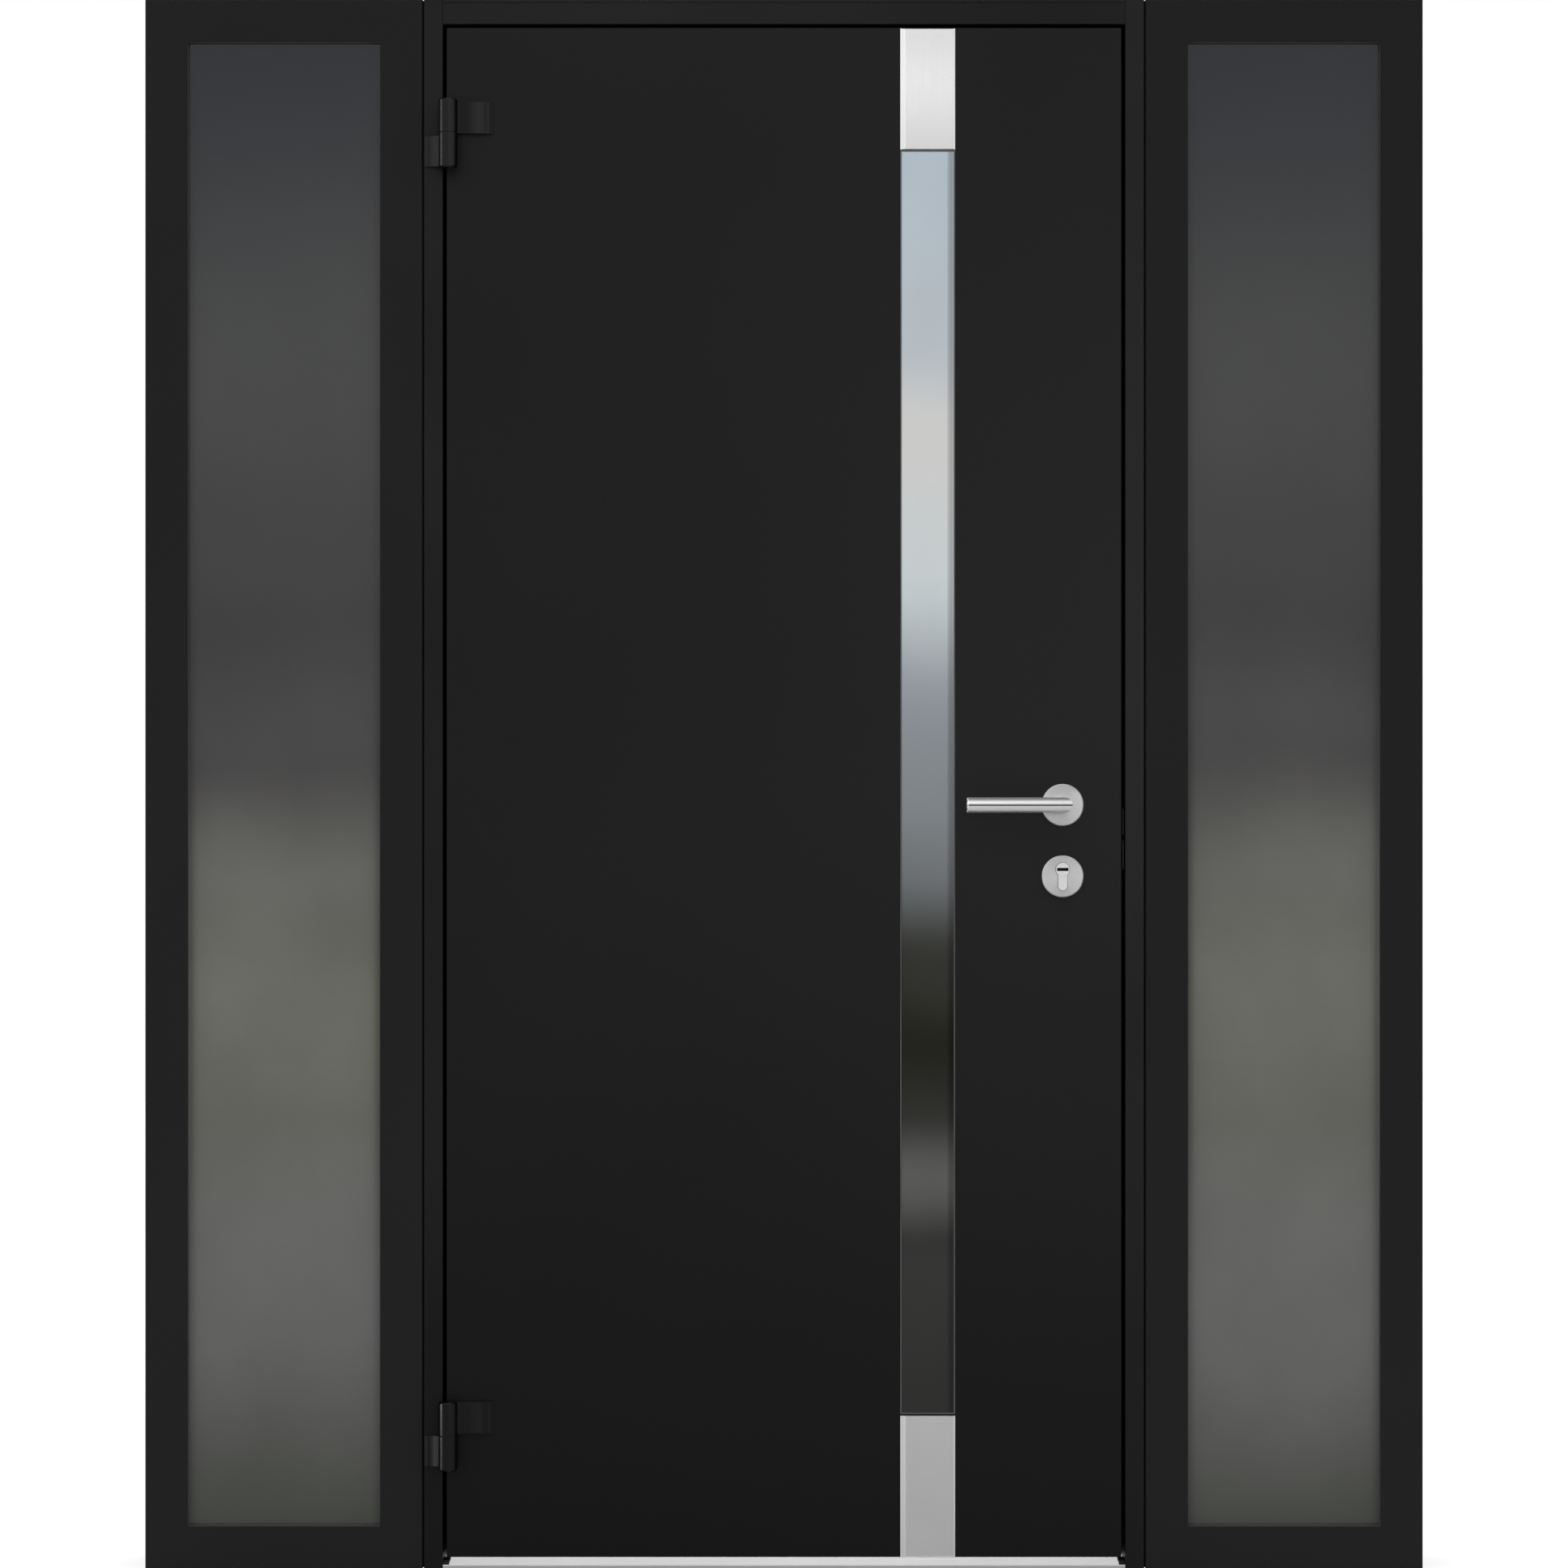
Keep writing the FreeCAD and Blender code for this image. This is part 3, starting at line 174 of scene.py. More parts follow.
def bump(tree, height, strength, depth, normal=None):
    inputs = {"Strength": strength, "Distance": depth, "Height": height}
    if normal is not None:
        inputs["Normal"] = normal
    return addNode(tree, "ShaderNodeBump", inputs).outputs[0]


def worldWay(tree, way):
    # a direction on the piece as the shader wants it
    return addNode(tree, "ShaderNodeVectorTransform", {"Vector": way}, vector_type="VECTOR",
                   convert_from="OBJECT", convert_to="WORLD").outputs[0]


def newMaterial(name, **constants):
    material = bpy.data.materials.new(name)
    material.use_nodes = True
    tree = material.node_tree
    shader = tree.nodes["Principled BSDF"]
    for key, value in constants.items():
        shader.inputs[key.replace("_", " ")].default_value = value
    return material, tree, shader


def wire(tree, shader, **outputs):
    for key, output in outputs.items():
        tree.links.new(output, shader.inputs[key.replace("_", " ")])


def dress(material, *names):
    # gives a carried-over piece its finish
    for name in names:
        slots = nodes[name].data.materials
        slots.clear()
        slots.append(material)
        for face in nodes[name].data.polygons:
            face.material_index = 0


def middle(name):
    low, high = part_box(name)
    return (low + high) / 2


# Black coats: a thin powder coat with fine orange peel and slow drifts in tone.
# Each has painted shade that darkens it towards the floor, down to its foot value. Painted light and shade
# run from left to right over a hinge, and painted light makes the narrow faces beside the side glass paler

coatPattern = {
    "drift": 2.3, "driftDetail": 3, "driftShare": 0.6, "speckDetail": 2, "speckRough": 0.6, "peelDetail": 1,
    "span": (0.38, 0.62), "speckBump": 0.5, "peelBump": 0.6, "paintedShadeBelow": 1.1,
}
sidelightCoat = {
    "dark": (0.0165, 0.0165, 0.0165), "light": (0.0185, 0.0185, 0.0185), "foot": 1.0,
    "matt": (0.52, 0.60), "specular": 0.04,
    "peelScale": 420.0, "peelDepth": 0.00003, "speckScale": 2600.0, "speckDepth": 0.000012,
    "paintedRevealLight": 3.2, "revealSlack": 0.0003,
}
doorFrameCoat = {
    "dark": (0.0046, 0.0046, 0.0046), "light": (0.0126, 0.0126, 0.0126), "foot": 0.45,
    "matt": (0.42, 0.54), "specular": 0.15,
    "peelScale": 360.0, "peelDepth": 0.00006, "speckScale": 620.0, "speckDepth": 0.00006,
}
leafCoat = {
    "dark": (0.0072, 0.0072, 0.0072), "light": (0.0086, 0.0086, 0.0086), "foot": 0.45,
    "matt": (0.40, 0.46), "specular": 0.12,
    "peelScale": 300.0, "peelDepth": 0.00003, "speckScale": 2400.0, "speckDepth": 0.00001,
}
hingeCoat = {
    "dark": (0.0046, 0.0046, 0.0046), "light": (0.0070, 0.0070, 0.0070), "foot": 0.3,
    "matt": (0.20, 0.27), "specular": 0.20,
    "peelScale": 700.0, "peelDepth": 0.00004, "speckScale": 3200.0, "speckDepth": 0.00002,
    "ends": ("upper_hinge_frame_half", "upper_hinge_leaf_half"),
    "across": [(0.05, 1.0), (0.084, 1.8), (0.11, 3.0), (0.154, 3.6), (0.19, 1.2), (0.25, 1.0), (0.34, 0.8),
               (0.39, 2.3), (0.41, 2.3), (0.45, 0.2), (0.48, 0.0), (0.62, 0.0), (0.68, 0.9), (0.74, 2.0),
               (0.79, 2.5), (0.84, 2.1), (0.885, 1.1), (0.905, 1.2), (0.925, 2.4), (0.945, 0.2), (1.0, 0.0)],
}
# the lower hinge's own painted light and shade, with stronger highlights on the frame half
lowerHingeCoat = dict(hingeCoat)
lowerHingeCoat["across"] = [
    (0.06, 0.2), (0.084, 2.5), (0.11, 6.0), (0.132, 13.0), (0.154, 20.0), (0.18, 7.0), (0.20, 1.0),
    (0.27, 0.0), (0.34, 0.0), (0.39, 2.4), (0.44, 1.6), (0.47, 0.5), (0.50, 1.5), (0.54, 0.4),
    (0.62, 0.6), (0.70, 2.0), (0.80, 2.6), (0.87, 0.5), (0.90, 0.3), (0.945, 2.0), (0.965, 0.2),
]


def powderCoat(name, coat):
    pattern = coatPattern
    material, tree, shader = newMaterial(name, Specular_IOR_Level=coat["specular"])
    place = objectPlace(tree)
    drift = noise(tree, place, pattern["drift"], pattern["driftDetail"])
    speck = noise(tree, place, coat["speckScale"], pattern["speckDetail"], pattern["speckRough"])
    peel = noise(tree, place, coat["peelScale"], pattern["peelDetail"])
    tone = blend(tree, drift, speck, pattern["driftShare"])
    waves = bump(tree, peel, pattern["peelBump"], coat["peelDepth"])
    normal = bump(tree, speck, pattern["speckBump"], coat["speckDepth"], waves)
    # painted shade: the coat darkens towards the floor, down to its foot value
    rise = mapRange(tree, placeAlong(tree, "Z"), (0.0, pattern["paintedShadeBelow"]), (coat["foot"], 1.0),
                    interpolation_type="SMOOTHSTEP")
    colour = scaled(tree, twoTones(tree, tone, coat, pattern["span"]), rise)
    # painted light and shade over the hinge from left to right: a dark hollow by the knuckle, painted
    # highlights on knuckle, crown and edges
    if "across" in coat:
        first, last = coat["ends"]
        colour = fade(tree, colour, "X", (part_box(first)[0].x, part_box(last)[1].x), coat["across"])
    # painted light on the faces beside the side glass
    if "paintedRevealLight" in coat:
        colour = paintRevealLight(tree, colour, coat)
    wire(tree, shader, Base_Color=colour, Roughness=between(tree, tone, *coat["matt"]), Normal=normal)
    return material


def paintRevealLight(tree, colour, coat):
    # painted light: the narrow faces that run back to the side glass, which lie in shade, are made paler than
    # the front
    inner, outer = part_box("right_sidelight_inner_stile"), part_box("right_sidelight_outer_stile")
    sill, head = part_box("right_sidelight_sill"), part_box("right_sidelight_head")
    glass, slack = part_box("right_side_glass"), coat["revealSlack"]
    spans = [
        (maths(tree, "ABSOLUTE", placeAlong(tree, "X")), inner[1].x - slack, outer[0].x + slack),
        (placeAlong(tree, "Z"), sill[1].z - slack, head[0].z + slack),
        (placeAlong(tree, "Y"), inner[0].y + slack, glass[0].y - slack),
    ]
    inside = [maths(tree, "COMPARE", place, (low + high) / 2, (high - low) / 2) for place, low, high in spans]
    mask = maths(tree, "MULTIPLY", maths(tree, "MULTIPLY", inside[0], inside[1]), inside[2])
    return scaled(tree, colour, between(tree, mask, 1.0, coat["paintedRevealLight"]))


# Stainless steel, brushed along the strip or turned on the roses.
# tones runs up the whole door; across, upward and inward run over one piece

brushPattern = {
    "lineDetail": 3, "lineRough": 0.62, "lineShare": 0.7, "lineBump": 0.4, "cloud": 9.0, "cloudDetail": 3,
    "span": (0.36, 0.64), "anisotropic": 0.35, "paintedHighlightTone": (0.97, 0.97, 0.97, 1),
}
insertSteel = {
    "dark": (0.80, 0.80, 0.80), "light": (0.86, 0.86, 0.86), "matt": (0.24, 0.28), "metallic": 1.0,
    "fine": 4200.0, "along": 18.0, "depth": 0.000006, "piece": "outer_top_insert",
    "tones": [(0.0, 0.82), (0.05, 0.74), (0.10, 0.74), (0.895, 0.88), (0.945, 1.04), (0.985, 0.89)],
    "across": [(0.0, 0.25), (0.015, 0.9), (0.038, 0.25), (0.07, 0.75), (0.115, 0.0), (0.97, 0.0),
               (0.988, 0.8)],
}
trimSteel = {
    "dark": (0.10, 0.10, 0.10), "light": (0.15, 0.15, 0.148), "matt": (0.30, 0.40), "metallic": 1.0,
    "fine": 2600.0, "along": 14.0, "depth": 0.00001,
}
plainSteel = {
    "dark": (0.15, 0.15, 0.148), "light": (0.22, 0.22, 0.217), "matt": (0.30, 0.44), "metallic": 1.0,
    "fine": 2200.0, "along": 40.0, "depth": 0.00001,
}
# painted shade: the pins are near black, so the collar between the hinge halves reads as a shaded gap
pinSteelPaintedShade = {
    "dark": (0.020, 0.020, 0.020), "light": (0.034, 0.034, 0.034), "matt": (0.30, 0.44), "metallic": 1.0,
    "fine": 2200.0, "along": 40.0, "depth": 0.00001,
}
leverSteel = {
    "dark": (0.62, 0.62, 0.62), "light": (0.70, 0.70, 0.70), "matt": (0.12, 0.17), "metallic": 0.72,
    "fine": 2400.0, "along": 60.0, "depth": 0.000004, "piece": "outer_lever",
    "across": [(0.0, 0.8), (0.014, 0.8), (0.022, 0.0)],
    "paintedUpward": [(0.0, 1.4), (0.12, 1.4), (0.20, 1.12), (0.44, 1.05), (0.465, 0.0), (0.515, 0.03), (0.55, 0.95),
               (0.60, 1.0), (0.68, 0.84), (0.76, 1.0), (0.82, 0.68), (0.87, 0.45), (0.92, 1.4), (1.0, 1.4)],
}
sillMetal = {
    "dark": (0.31, 0.31, 0.31), "light": (0.35, 0.35, 0.35), "matt": (0.45, 0.55), "metallic": 0.05,
    "fine": 1800.0, "along": 8.0, "depth": 0.00001, "piece": "threshold",
    "paintedInward": [(0.0, 1.15), (0.012, 0.55), (0.03, 0.75), (0.05, 0.85), (0.10, 0.92), (0.14, 1.0), (0.5, 1.0)],
}


def brushed(name, steel, way):
    # way: the axis that the brush lines follow
    pattern = brushPattern
    material, tree, shader = newMaterial(name, Metallic=steel["metallic"], Anisotropic=pattern["anisotropic"])
    stretch = [steel["along"] if axis == way else steel["fine"] for axis in "XYZ"]
    lines = noise(tree, objectPlace(tree, stretch), 1.0, pattern["lineDetail"], pattern["lineRough"])
    cloud = noise(tree, objectPlace(tree), pattern["cloud"], pattern["cloudDetail"])
    tone = blend(tree, lines, cloud, pattern["lineShare"])
    tangent = worldWay(tree, [1.0 if axis == way else 0.0 for axis in "XYZ"])
    colour = twoTones(tree, tone, steel, pattern["span"])
    # painted reflections on the inserts, set by height over the whole door
    if "tones" in steel:
        colour = fade(tree, colour, "Z", (0.0, cadBox[1].z), steel["tones"])
    if "piece" in steel:
        low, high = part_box(steel["piece"])
    # painted reflection over the lever's height: a dark horizon line across the middle, paler bands above and
    # below
    if "paintedUpward" in steel:
        colour = fade(tree, colour, "Z", (low.z, high.z), steel["paintedUpward"])
    # painted light and shade from front to back over the sill: a pale front edge, darker behind it,
    # brightening towards the back
    if "paintedInward" in steel:
        colour = fade(tree, colour, "Y", (low.y, high.y), steel["paintedInward"])
    if "across" in steel:    # painted highlights at the rolled edges
        edges = ramp(tree, mapRange(tree, placeAlong(tree, "X"), (low.x, high.x)), greys(steel["across"]))
        colour = mixColours(tree, edges, colour, pattern["paintedHighlightTone"])
    wire(tree, shader, Base_Color=colour, Roughness=between(tree, tone, *steel["matt"]),
         Normal=bump(tree, lines, pattern["lineBump"], steel["depth"]), Tangent=tangent)
    return material


turnedSteel = {
    "dark": (0.715, 0.715, 0.715), "light": (0.845, 0.845, 0.845), "matt": (0.26, 0.36),
    "rings": 2400.0, "ringDetail": 2, "ringRough": 0.7, "ringShare": 0.6, "ringBump": 0.35, "depth": 0.00001,
    "cloud": 60.0, "cloudDetail": 2, "span": (0.36, 0.64), "anisotropic": 0.55,
}


def turned(name, steel, centres):
    # rings round the nearer of the centres, each an (x, z) place on the leaf
    material, tree, shader = newMaterial(name, Metallic=1.0, Anisotropic=steel["anisotropic"])
    axes = []
    for x, z in centres:
        place = objectPlace(tree, centre=(x, 0, z))
        flat = vectorMaths(tree, "MULTIPLY", place, (1, 0, 1))
        axes.append((flat, distance(tree, flat)))
    flat, reach = axes[0]
    for otherFlat, otherReach in axes[1:]:
        nearer = maths(tree, "LESS_THAN", otherReach, reach)
        inputs = {"Factor": nearer, 4: flat, 5: otherFlat}
        flat = addNode(tree, "ShaderNodeMix", inputs, data_type="VECTOR").outputs[1]
        reach = maths(tree, "MINIMUM", reach, otherReach)
    outward = addNode(tree, "ShaderNodeCombineXYZ", {"X": reach}).outputs[0]
    rings = noise(tree, outward, steel["rings"], steel["ringDetail"], steel["ringRough"])
    cloud = noise(tree, objectPlace(tree), steel["cloud"], steel["cloudDetail"])
    tone = blend(tree, rings, cloud, steel["ringShare"])
    circling = vectorMaths(tree, "CROSS_PRODUCT", flat, (0, 1, 0))
    wire(tree, shader, Base_Color=twoTones(tree, tone, steel, steel["span"]),
         Roughness=between(tree, tone, *steel["matt"]), Tangent=worldWay(tree, circling),
         Normal=bump(tree, rings, steel["ringBump"], steel["depth"]))
    return material


# Glass: dark sealed units with painted reflections toned from foot to head, under a clear gloss

glassPattern = {
    "gloss": 0.03, "ior": 1.5,
    "drift": 2.4, "driftDetail": 3, "driftStretch": (1, 1, 0.6), "driftReach": 0.04,
    "cloud": 6.0, "cloudDetail": 5, "cloudRough": 0.55, "cloudStretch": (1, 1, 0.8),
    "cloudSpan": (0.35, 0.65),
    "wave": 5.0, "waveDetail": 1, "waveBump": 0.25, "waveDepth": 0.0004,
}
sideGlass = {
    "foot": 0.04, "head": 2.03, "piece": "right_side_glass", "metallic": 0.0,
    "across": [(0.05, 0.72), (0.10, 1.0), (0.90, 1.0), (0.95, 0.72)],
    "mottle": (0.94, 1.06), "rim": 0.04, "rimWide": 0.0014, "rimHigh": 0.0027,
    "tones": [(0.0, (0.050, 0.055, 0.043)), (0.15, (0.122, 0.122, 0.120)), (0.36, (0.178, 0.180, 0.156)),
              (0.43, (0.160, 0.160, 0.146)), (0.52, (0.066, 0.064, 0.064)), (0.62, (0.030, 0.028, 0.028)),
              (0.78, (0.041, 0.042, 0.042)), (1.0, (0.002, 0.005, 0.012))],
}
stripGlass = {
    "foot": 0.20, "head": 1.87, "piece": "strip_glass", "metallic": 0.9,
    "across": [(0.0, 0.8), (0.03, 1.0), (0.855, 1.0), (0.915, 0.68), (0.96, 0.6), (1.0, 0.72)],
    "mottle": (0.97, 1.03),
    "tones": [(0.0, (0.038, 0.038, 0.037)), (0.14, (0.046, 0.046, 0.045)), (0.215, (0.28, 0.28, 0.27)),
              (0.30, (0.14, 0.15, 0.11)), (0.36, (0.27, 0.28, 0.24)), (0.43, (0.62, 0.67, 0.71)),
              (0.565, (0.42, 0.46, 0.50)), (0.65, (0.60, 0.65, 0.67)), (0.78, (0.66, 0.66, 0.65)),
              (0.86, (0.50, 0.55, 0.59)), (1.0, (0.47, 0.54, 0.60))],
}


def paintRimReflection(tree, colour, sideways, glass):
    # a painted reflection: a pale hairline under the head and along the outer stile, where the glass mirrors
    # them
    stile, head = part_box("right_sidelight_outer_stile"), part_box("right_sidelight_head")
    outer = maths(tree, "GREATER_THAN", sideways, stile[0].x - glass["rimWide"])
    upper = maths(tree, "GREATER_THAN", placeAlong(tree, "Z"), head[0].z - glass["rimHigh"])
    lift = maths(tree, "MULTIPLY", maths(tree, "MAXIMUM", outer, upper), glass["rim"])
    return vectorMaths(tree, "ADD", colour, lift)


def glassWithPaintedReflections(name, glass):
    # both side panes share one set of painted reflection tones, mirrored over the middle of the door
    pattern = glassPattern
    low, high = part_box(glass["piece"])
    material, tree, shader = newMaterial(name, Metallic=glass["metallic"], Roughness=pattern["gloss"],
                                         IOR=pattern["ior"])
    drift = noise(tree, objectPlace(tree, pattern["driftStretch"]), pattern["drift"], pattern["driftDetail"])
    # painted reflections: the tones from foot to head stand in for sky and ground mirrored in the glass
    height = mapRange(tree, placeAlong(tree, "Z"), (glass["foot"], glass["head"]))
    height = maths(tree, "ADD", height, between(tree, drift, -pattern["driftReach"], pattern["driftReach"]))
    sideways = maths(tree, "ABSOLUTE", placeAlong(tree, "X"))
    # painted shade near the edges of the glass
    edges = ramp(tree, mapRange(tree, sideways, (low.x, high.x)), greys(glass["across"]), "EASE")
    framed = vectorMaths(tree, "MULTIPLY", ramp(tree, height, glass["tones"], "EASE"), edges)
    cloud = noise(tree, objectPlace(tree, pattern["cloudStretch"]), pattern["cloud"], pattern["cloudDetail"],
                  pattern["cloudRough"])
    colour = scaled(tree, framed, mapRange(tree, cloud, pattern["cloudSpan"], glass["mottle"]))
    if "rim" in glass:
        colour = paintRimReflection(tree, colour, sideways, glass)
    wave = noise(tree, objectPlace(tree), pattern["wave"], pattern["waveDetail"])
    wire(tree, shader, Base_Color=colour, Normal=bump(tree, wave, pattern["waveBump"], pattern["waveDepth"]))
    return material


# Rubber, plastic, spacer bars and foam

softPattern = {"detail": 3, "rough": 0.6, "span": (0.35, 0.65), "bump": 0.5, "specular": 0.3}
softMatter = {
    "sealRubber": {"dark": (0.0045, 0.0045, 0.0045), "light": (0.0075, 0.0075, 0.0075), "matt": (0.62, 0.8),
                   "scale": 1400.0, "depth": 0.00004},
    # painted light: the glass gaskets are pale grey so the shaded recess round the glass reads lighter
    "glassRubberPaintedLight": {"dark": (0.13, 0.13, 0.13), "light": (0.15, 0.15, 0.15), "matt": (0.62, 0.8),
                    "scale": 1400.0, "depth": 0.00004},
    "edgePlastic": {"dark": (0.010, 0.010, 0.010), "light": (0.014, 0.014, 0.014), "matt": (0.45, 0.6),
                    "scale": 900.0, "depth": 0.00003},
    "spacerBar": {"dark": (0.012, 0.012, 0.012), "light": (0.02, 0.02, 0.02), "matt": (0.35, 0.5),
                  "scale": 600.0, "depth": 0.00003},
    "rigidFoam": {"dark": (0.42, 0.36, 0.2), "light": (0.6, 0.54, 0.36), "matt": (0.8, 0.95),
                  "scale": 500.0, "depth": 0.0003},
}


def plainMatter(name):
    matter, pattern = softMatter[name], softPattern
    material, tree, shader = newMaterial(name, Specular_IOR_Level=pattern["specular"])
    grain = noise(tree, objectPlace(tree), matter["scale"], pattern["detail"], pattern["rough"])
    wire(tree, shader, Base_Color=twoTones(tree, grain, matter, pattern["span"]),
         Roughness=between(tree, grain, *matter["matt"]),
         Normal=bump(tree, grain, pattern["bump"], matter["depth"]))
    return material


cylinderNickel = {
    "dark": (0.82, 0.82, 0.82), "light": (0.92, 0.92, 0.915), "inside": (0.02, 0.02, 0.02, 1),
    "matt": (0.28, 0.36), "scale": 900.0, "stretch": (1, 0.1, 1), "detail": 2, "rough": 0.6,
    "span": (0.36, 0.64), "bump": 0.4, "depth": 0.000006, "mouth": 0.0016, "metallic": 0.35,
}


def lockNickel(name):
    # bright faces, and painted shade inside the key slots
    nickel = cylinderNickel
    material, tree, shader = newMaterial(name, Metallic=nickel["metallic"])
    low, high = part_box("lock_cylinder")
    far = maths(tree, "ABSOLUTE", maths(tree, "SUBTRACT", placeAlong(tree, "Y"), (low.y + high.y) / 2))
    outside = maths(tree, "GREATER_THAN", far, (high.y - low.y) / 2 - nickel["mouth"])
    place = objectPlace(tree, nickel["stretch"])
    grain = noise(tree, place, nickel["scale"], nickel["detail"], nickel["rough"])
    bright = twoTones(tree, grain, nickel, nickel["span"])
    wire(tree, shader, Base_Color=mixColours(tree, outside, nickel["inside"], bright),
         Roughness=between(tree, grain, *nickel["matt"]),
         Normal=bump(tree, grain, nickel["bump"], nickel["depth"]))
    return material


def finishPieces():
    members = [side + "_sidelight_" + part for side in ("left", "right")
               for part in ("inner_stile", "outer_stile", "head", "sill")]
    dress(powderCoat("sidelightCoat", sidelightCoat), *members, "left_glazing_bead", "right_glazing_bead")
    dress(powderCoat("doorFrameCoat", doorFrameCoat), "left_jamb", "right_jamb", "head")
    dress(powderCoat("leafCoat", leafCoat), "outer_skin", "inner_skin")
    dress(powderCoat("hingeCoat", hingeCoat), "upper_hinge_leaf_half", "upper_hinge_frame_half")
    dress(powderCoat("lowerHingeCoat", lowerHingeCoat), "lower_hinge_leaf_half", "lower_hinge_frame_half")
    inserts = brushed("insertSteel", insertSteel, "Z")
    dress(inserts, "outer_top_insert", "outer_bottom_insert", "inner_inserts")
    dress(brushed("trimSteel", trimSteel, "Z"), "outer_strip_trim", "inner_strip_trim")
    dress(brushed("sillMetal", sillMetal, "X"), "threshold")
    dress(brushed("lockSteel", plainSteel, "Z"), "strike_plate", "lock_forend", "lock_case", "lock_bolts")
    dress(brushed("pinSteelPaintedShade", pinSteelPaintedShade, "Y"), "hinge_pins", "lever_spindle")
    lever, key = middle("outer_lever_rose"), middle("outer_cylinder_rose")
    roses = turned("roseSteel", turnedSteel, [(lever.x, lever.z), (key.x, key.z)])
    dress(roses, "outer_lever_rose", "outer_cylinder_rose", "inner_roses")
    dress(brushed("leverSteel", leverSteel, "X"), "outer_lever", "inner_lever")
    dress(lockNickel("cylinderNickel"), "lock_cylinder", "key_plug")
    dress(glassWithPaintedReflections("sideGlass", sideGlass), "left_side_glass", "right_side_glass")
    dress(glassWithPaintedReflections("stripGlass", stripGlass), "strip_glass")
    dress(plainMatter("sealRubber"), "frame_seal", "threshold_seal", "joint_seals", "threshold_end_blocks")
    dress(plainMatter("glassRubberPaintedLight"), "left_glass_gaskets", "right_glass_gaskets")
    dress(plainMatter("edgePlastic"), "edge_band")
    dress(plainMatter("spacerBar"), "side_glass_spacers", "strip_spacers")
    dress(plainMatter("rigidFoam"), "leaf_core")


# Screws on the forend and the strike plate, set out by a node tree

screwHead = {
    "radius": 0.0042, "rise": 0.0006, "slotLong": 0.0044, "slotWide": 0.0010, "slotDeep": 0.0005,
    "sides": 40, "taper": 0.8,
}


def upwards(tree, height):
    return addNode(tree, "ShaderNodeCombineXYZ", {"Z": height}).outputs[0]


def lifted(tree, shape, height):
    inputs = {"Geometry": shape, "Translation": upwards(tree, height)}
    return addNode(tree, "GeometryNodeTransform", inputs).outputs[0]


def screwTree(material):
    # a raised head with a cross recess on every point of the mesh that comes in
    tree = bpy.data.node_groups.new("screwHeads", "GeometryNodeTree")
    face = tree.interface
    face.new_socket("Points", in_out="INPUT", socket_type="NodeSocketGeometry")
    for name, key in (("Head radius", "radius"), ("Head rise", "rise"), ("Slot length", "slotLong"),
                      ("Slot width", "slotWide"), ("Slot depth", "slotDeep")):
        face.new_socket(name, in_out="INPUT", socket_type="NodeSocketFloat").default_value = screwHead[key]
    face.new_socket("Turn", in_out="INPUT", socket_type="NodeSocketRotation")
    face.new_socket("Heads", in_out="OUTPUT", socket_type="NodeSocketGeometry")
    given = tree.nodes.new("NodeGroupInput").outputs
    body = addNode(tree, "GeometryNodeMeshCone", {    # as deep below the plate as it stands above it
        "Vertices": screwHead["sides"], "Side Segments": 1, "Radius Bottom": given["Head radius"],
        "Radius Top": maths(tree, "MULTIPLY", given["Head radius"], screwHead["taper"]),
        "Depth": maths(tree, "MULTIPLY", given["Head rise"], 2.0),
    })
    sunk = lifted(tree, body.outputs["Mesh"], maths(tree, "MULTIPLY", given["Head rise"], -1.0))
    recess = addNode(tree, "GeometryNodeMeshBoolean", operation="DIFFERENCE", solver="EXACT")
    tree.links.new(sunk, recess.inputs[0])
    arms = []
    halfSlot = maths(tree, "MULTIPLY", given["Slot depth"], 0.5)
    armHeight = maths(tree, "SUBTRACT", given["Head rise"], halfSlot)
    for long, wide in (("Slot length", "Slot width"), ("Slot width", "Slot length")):
        deep = maths(tree, "MULTIPLY", given["Slot depth"], 2.0)
        size = addNode(tree, "ShaderNodeCombineXYZ", {"X": given[long], "Y": given[wide], "Z": deep})
        arm = addNode(tree, "GeometryNodeMeshCube", {"Size": size.outputs[0]})
        arms.append(lifted(tree, arm.outputs["Mesh"], armHeight))
    for arm in arms:
        tree.links.new(arm, recess.inputs[1])
    spread = addNode(tree, "GeometryNodeInstanceOnPoints", {
        "Points": given["Points"], "Instance": recess.outputs[0], "Rotation": given["Turn"],
    })
    solid = addNode(tree, "GeometryNodeRealizeInstances", {"Geometry": spread.outputs[0]})
    coloured = addNode(tree, "GeometryNodeSetMaterial", {"Geometry": solid.outputs[0], "Material": material})
    result = tree.nodes.new("NodeGroupOutput")
    tree.links.new(coloured.outputs[0], result.inputs["Heads"])
    return tree


def setScrews(name, places, turn, tree, body):
    # screws at the places given, on one plate; turn is the way their heads face
    mesh = bpy.data.meshes.new(name + "Points")
    mesh.from_pydata(places, [], [])
    piece = bpy.data.objects.new(name, mesh)
    scene.collection.objects.link(piece)
    modifier = piece.modifiers.new("heads", "NODES")
    modifier.node_group = tree
    sockets = {item.name: item.identifier for item in tree.interface.items_tree if item.in_out == "INPUT"}
    modifier[sockets["Turn"]] = turn
    ready = piece.evaluated_get(bpy.context.evaluated_depsgraph_get())
    finished = bpy.data.meshes.new_from_object(ready)
    piece.modifiers.clear()
    piece.data = finished
    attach(piece, body)


screwPlaces = {
    "plate": 0.003,            # thickness of the forend
    "endMargin": 0.012,        # from the end of a plate to its last screw
    "cylinderScrew": 0.910,    # height of the screw that holds the lock cylinder
    "strikeLower": 0.070, "strikeUpper": 0.055,    # the strike plate's middle screws, from its ends
}


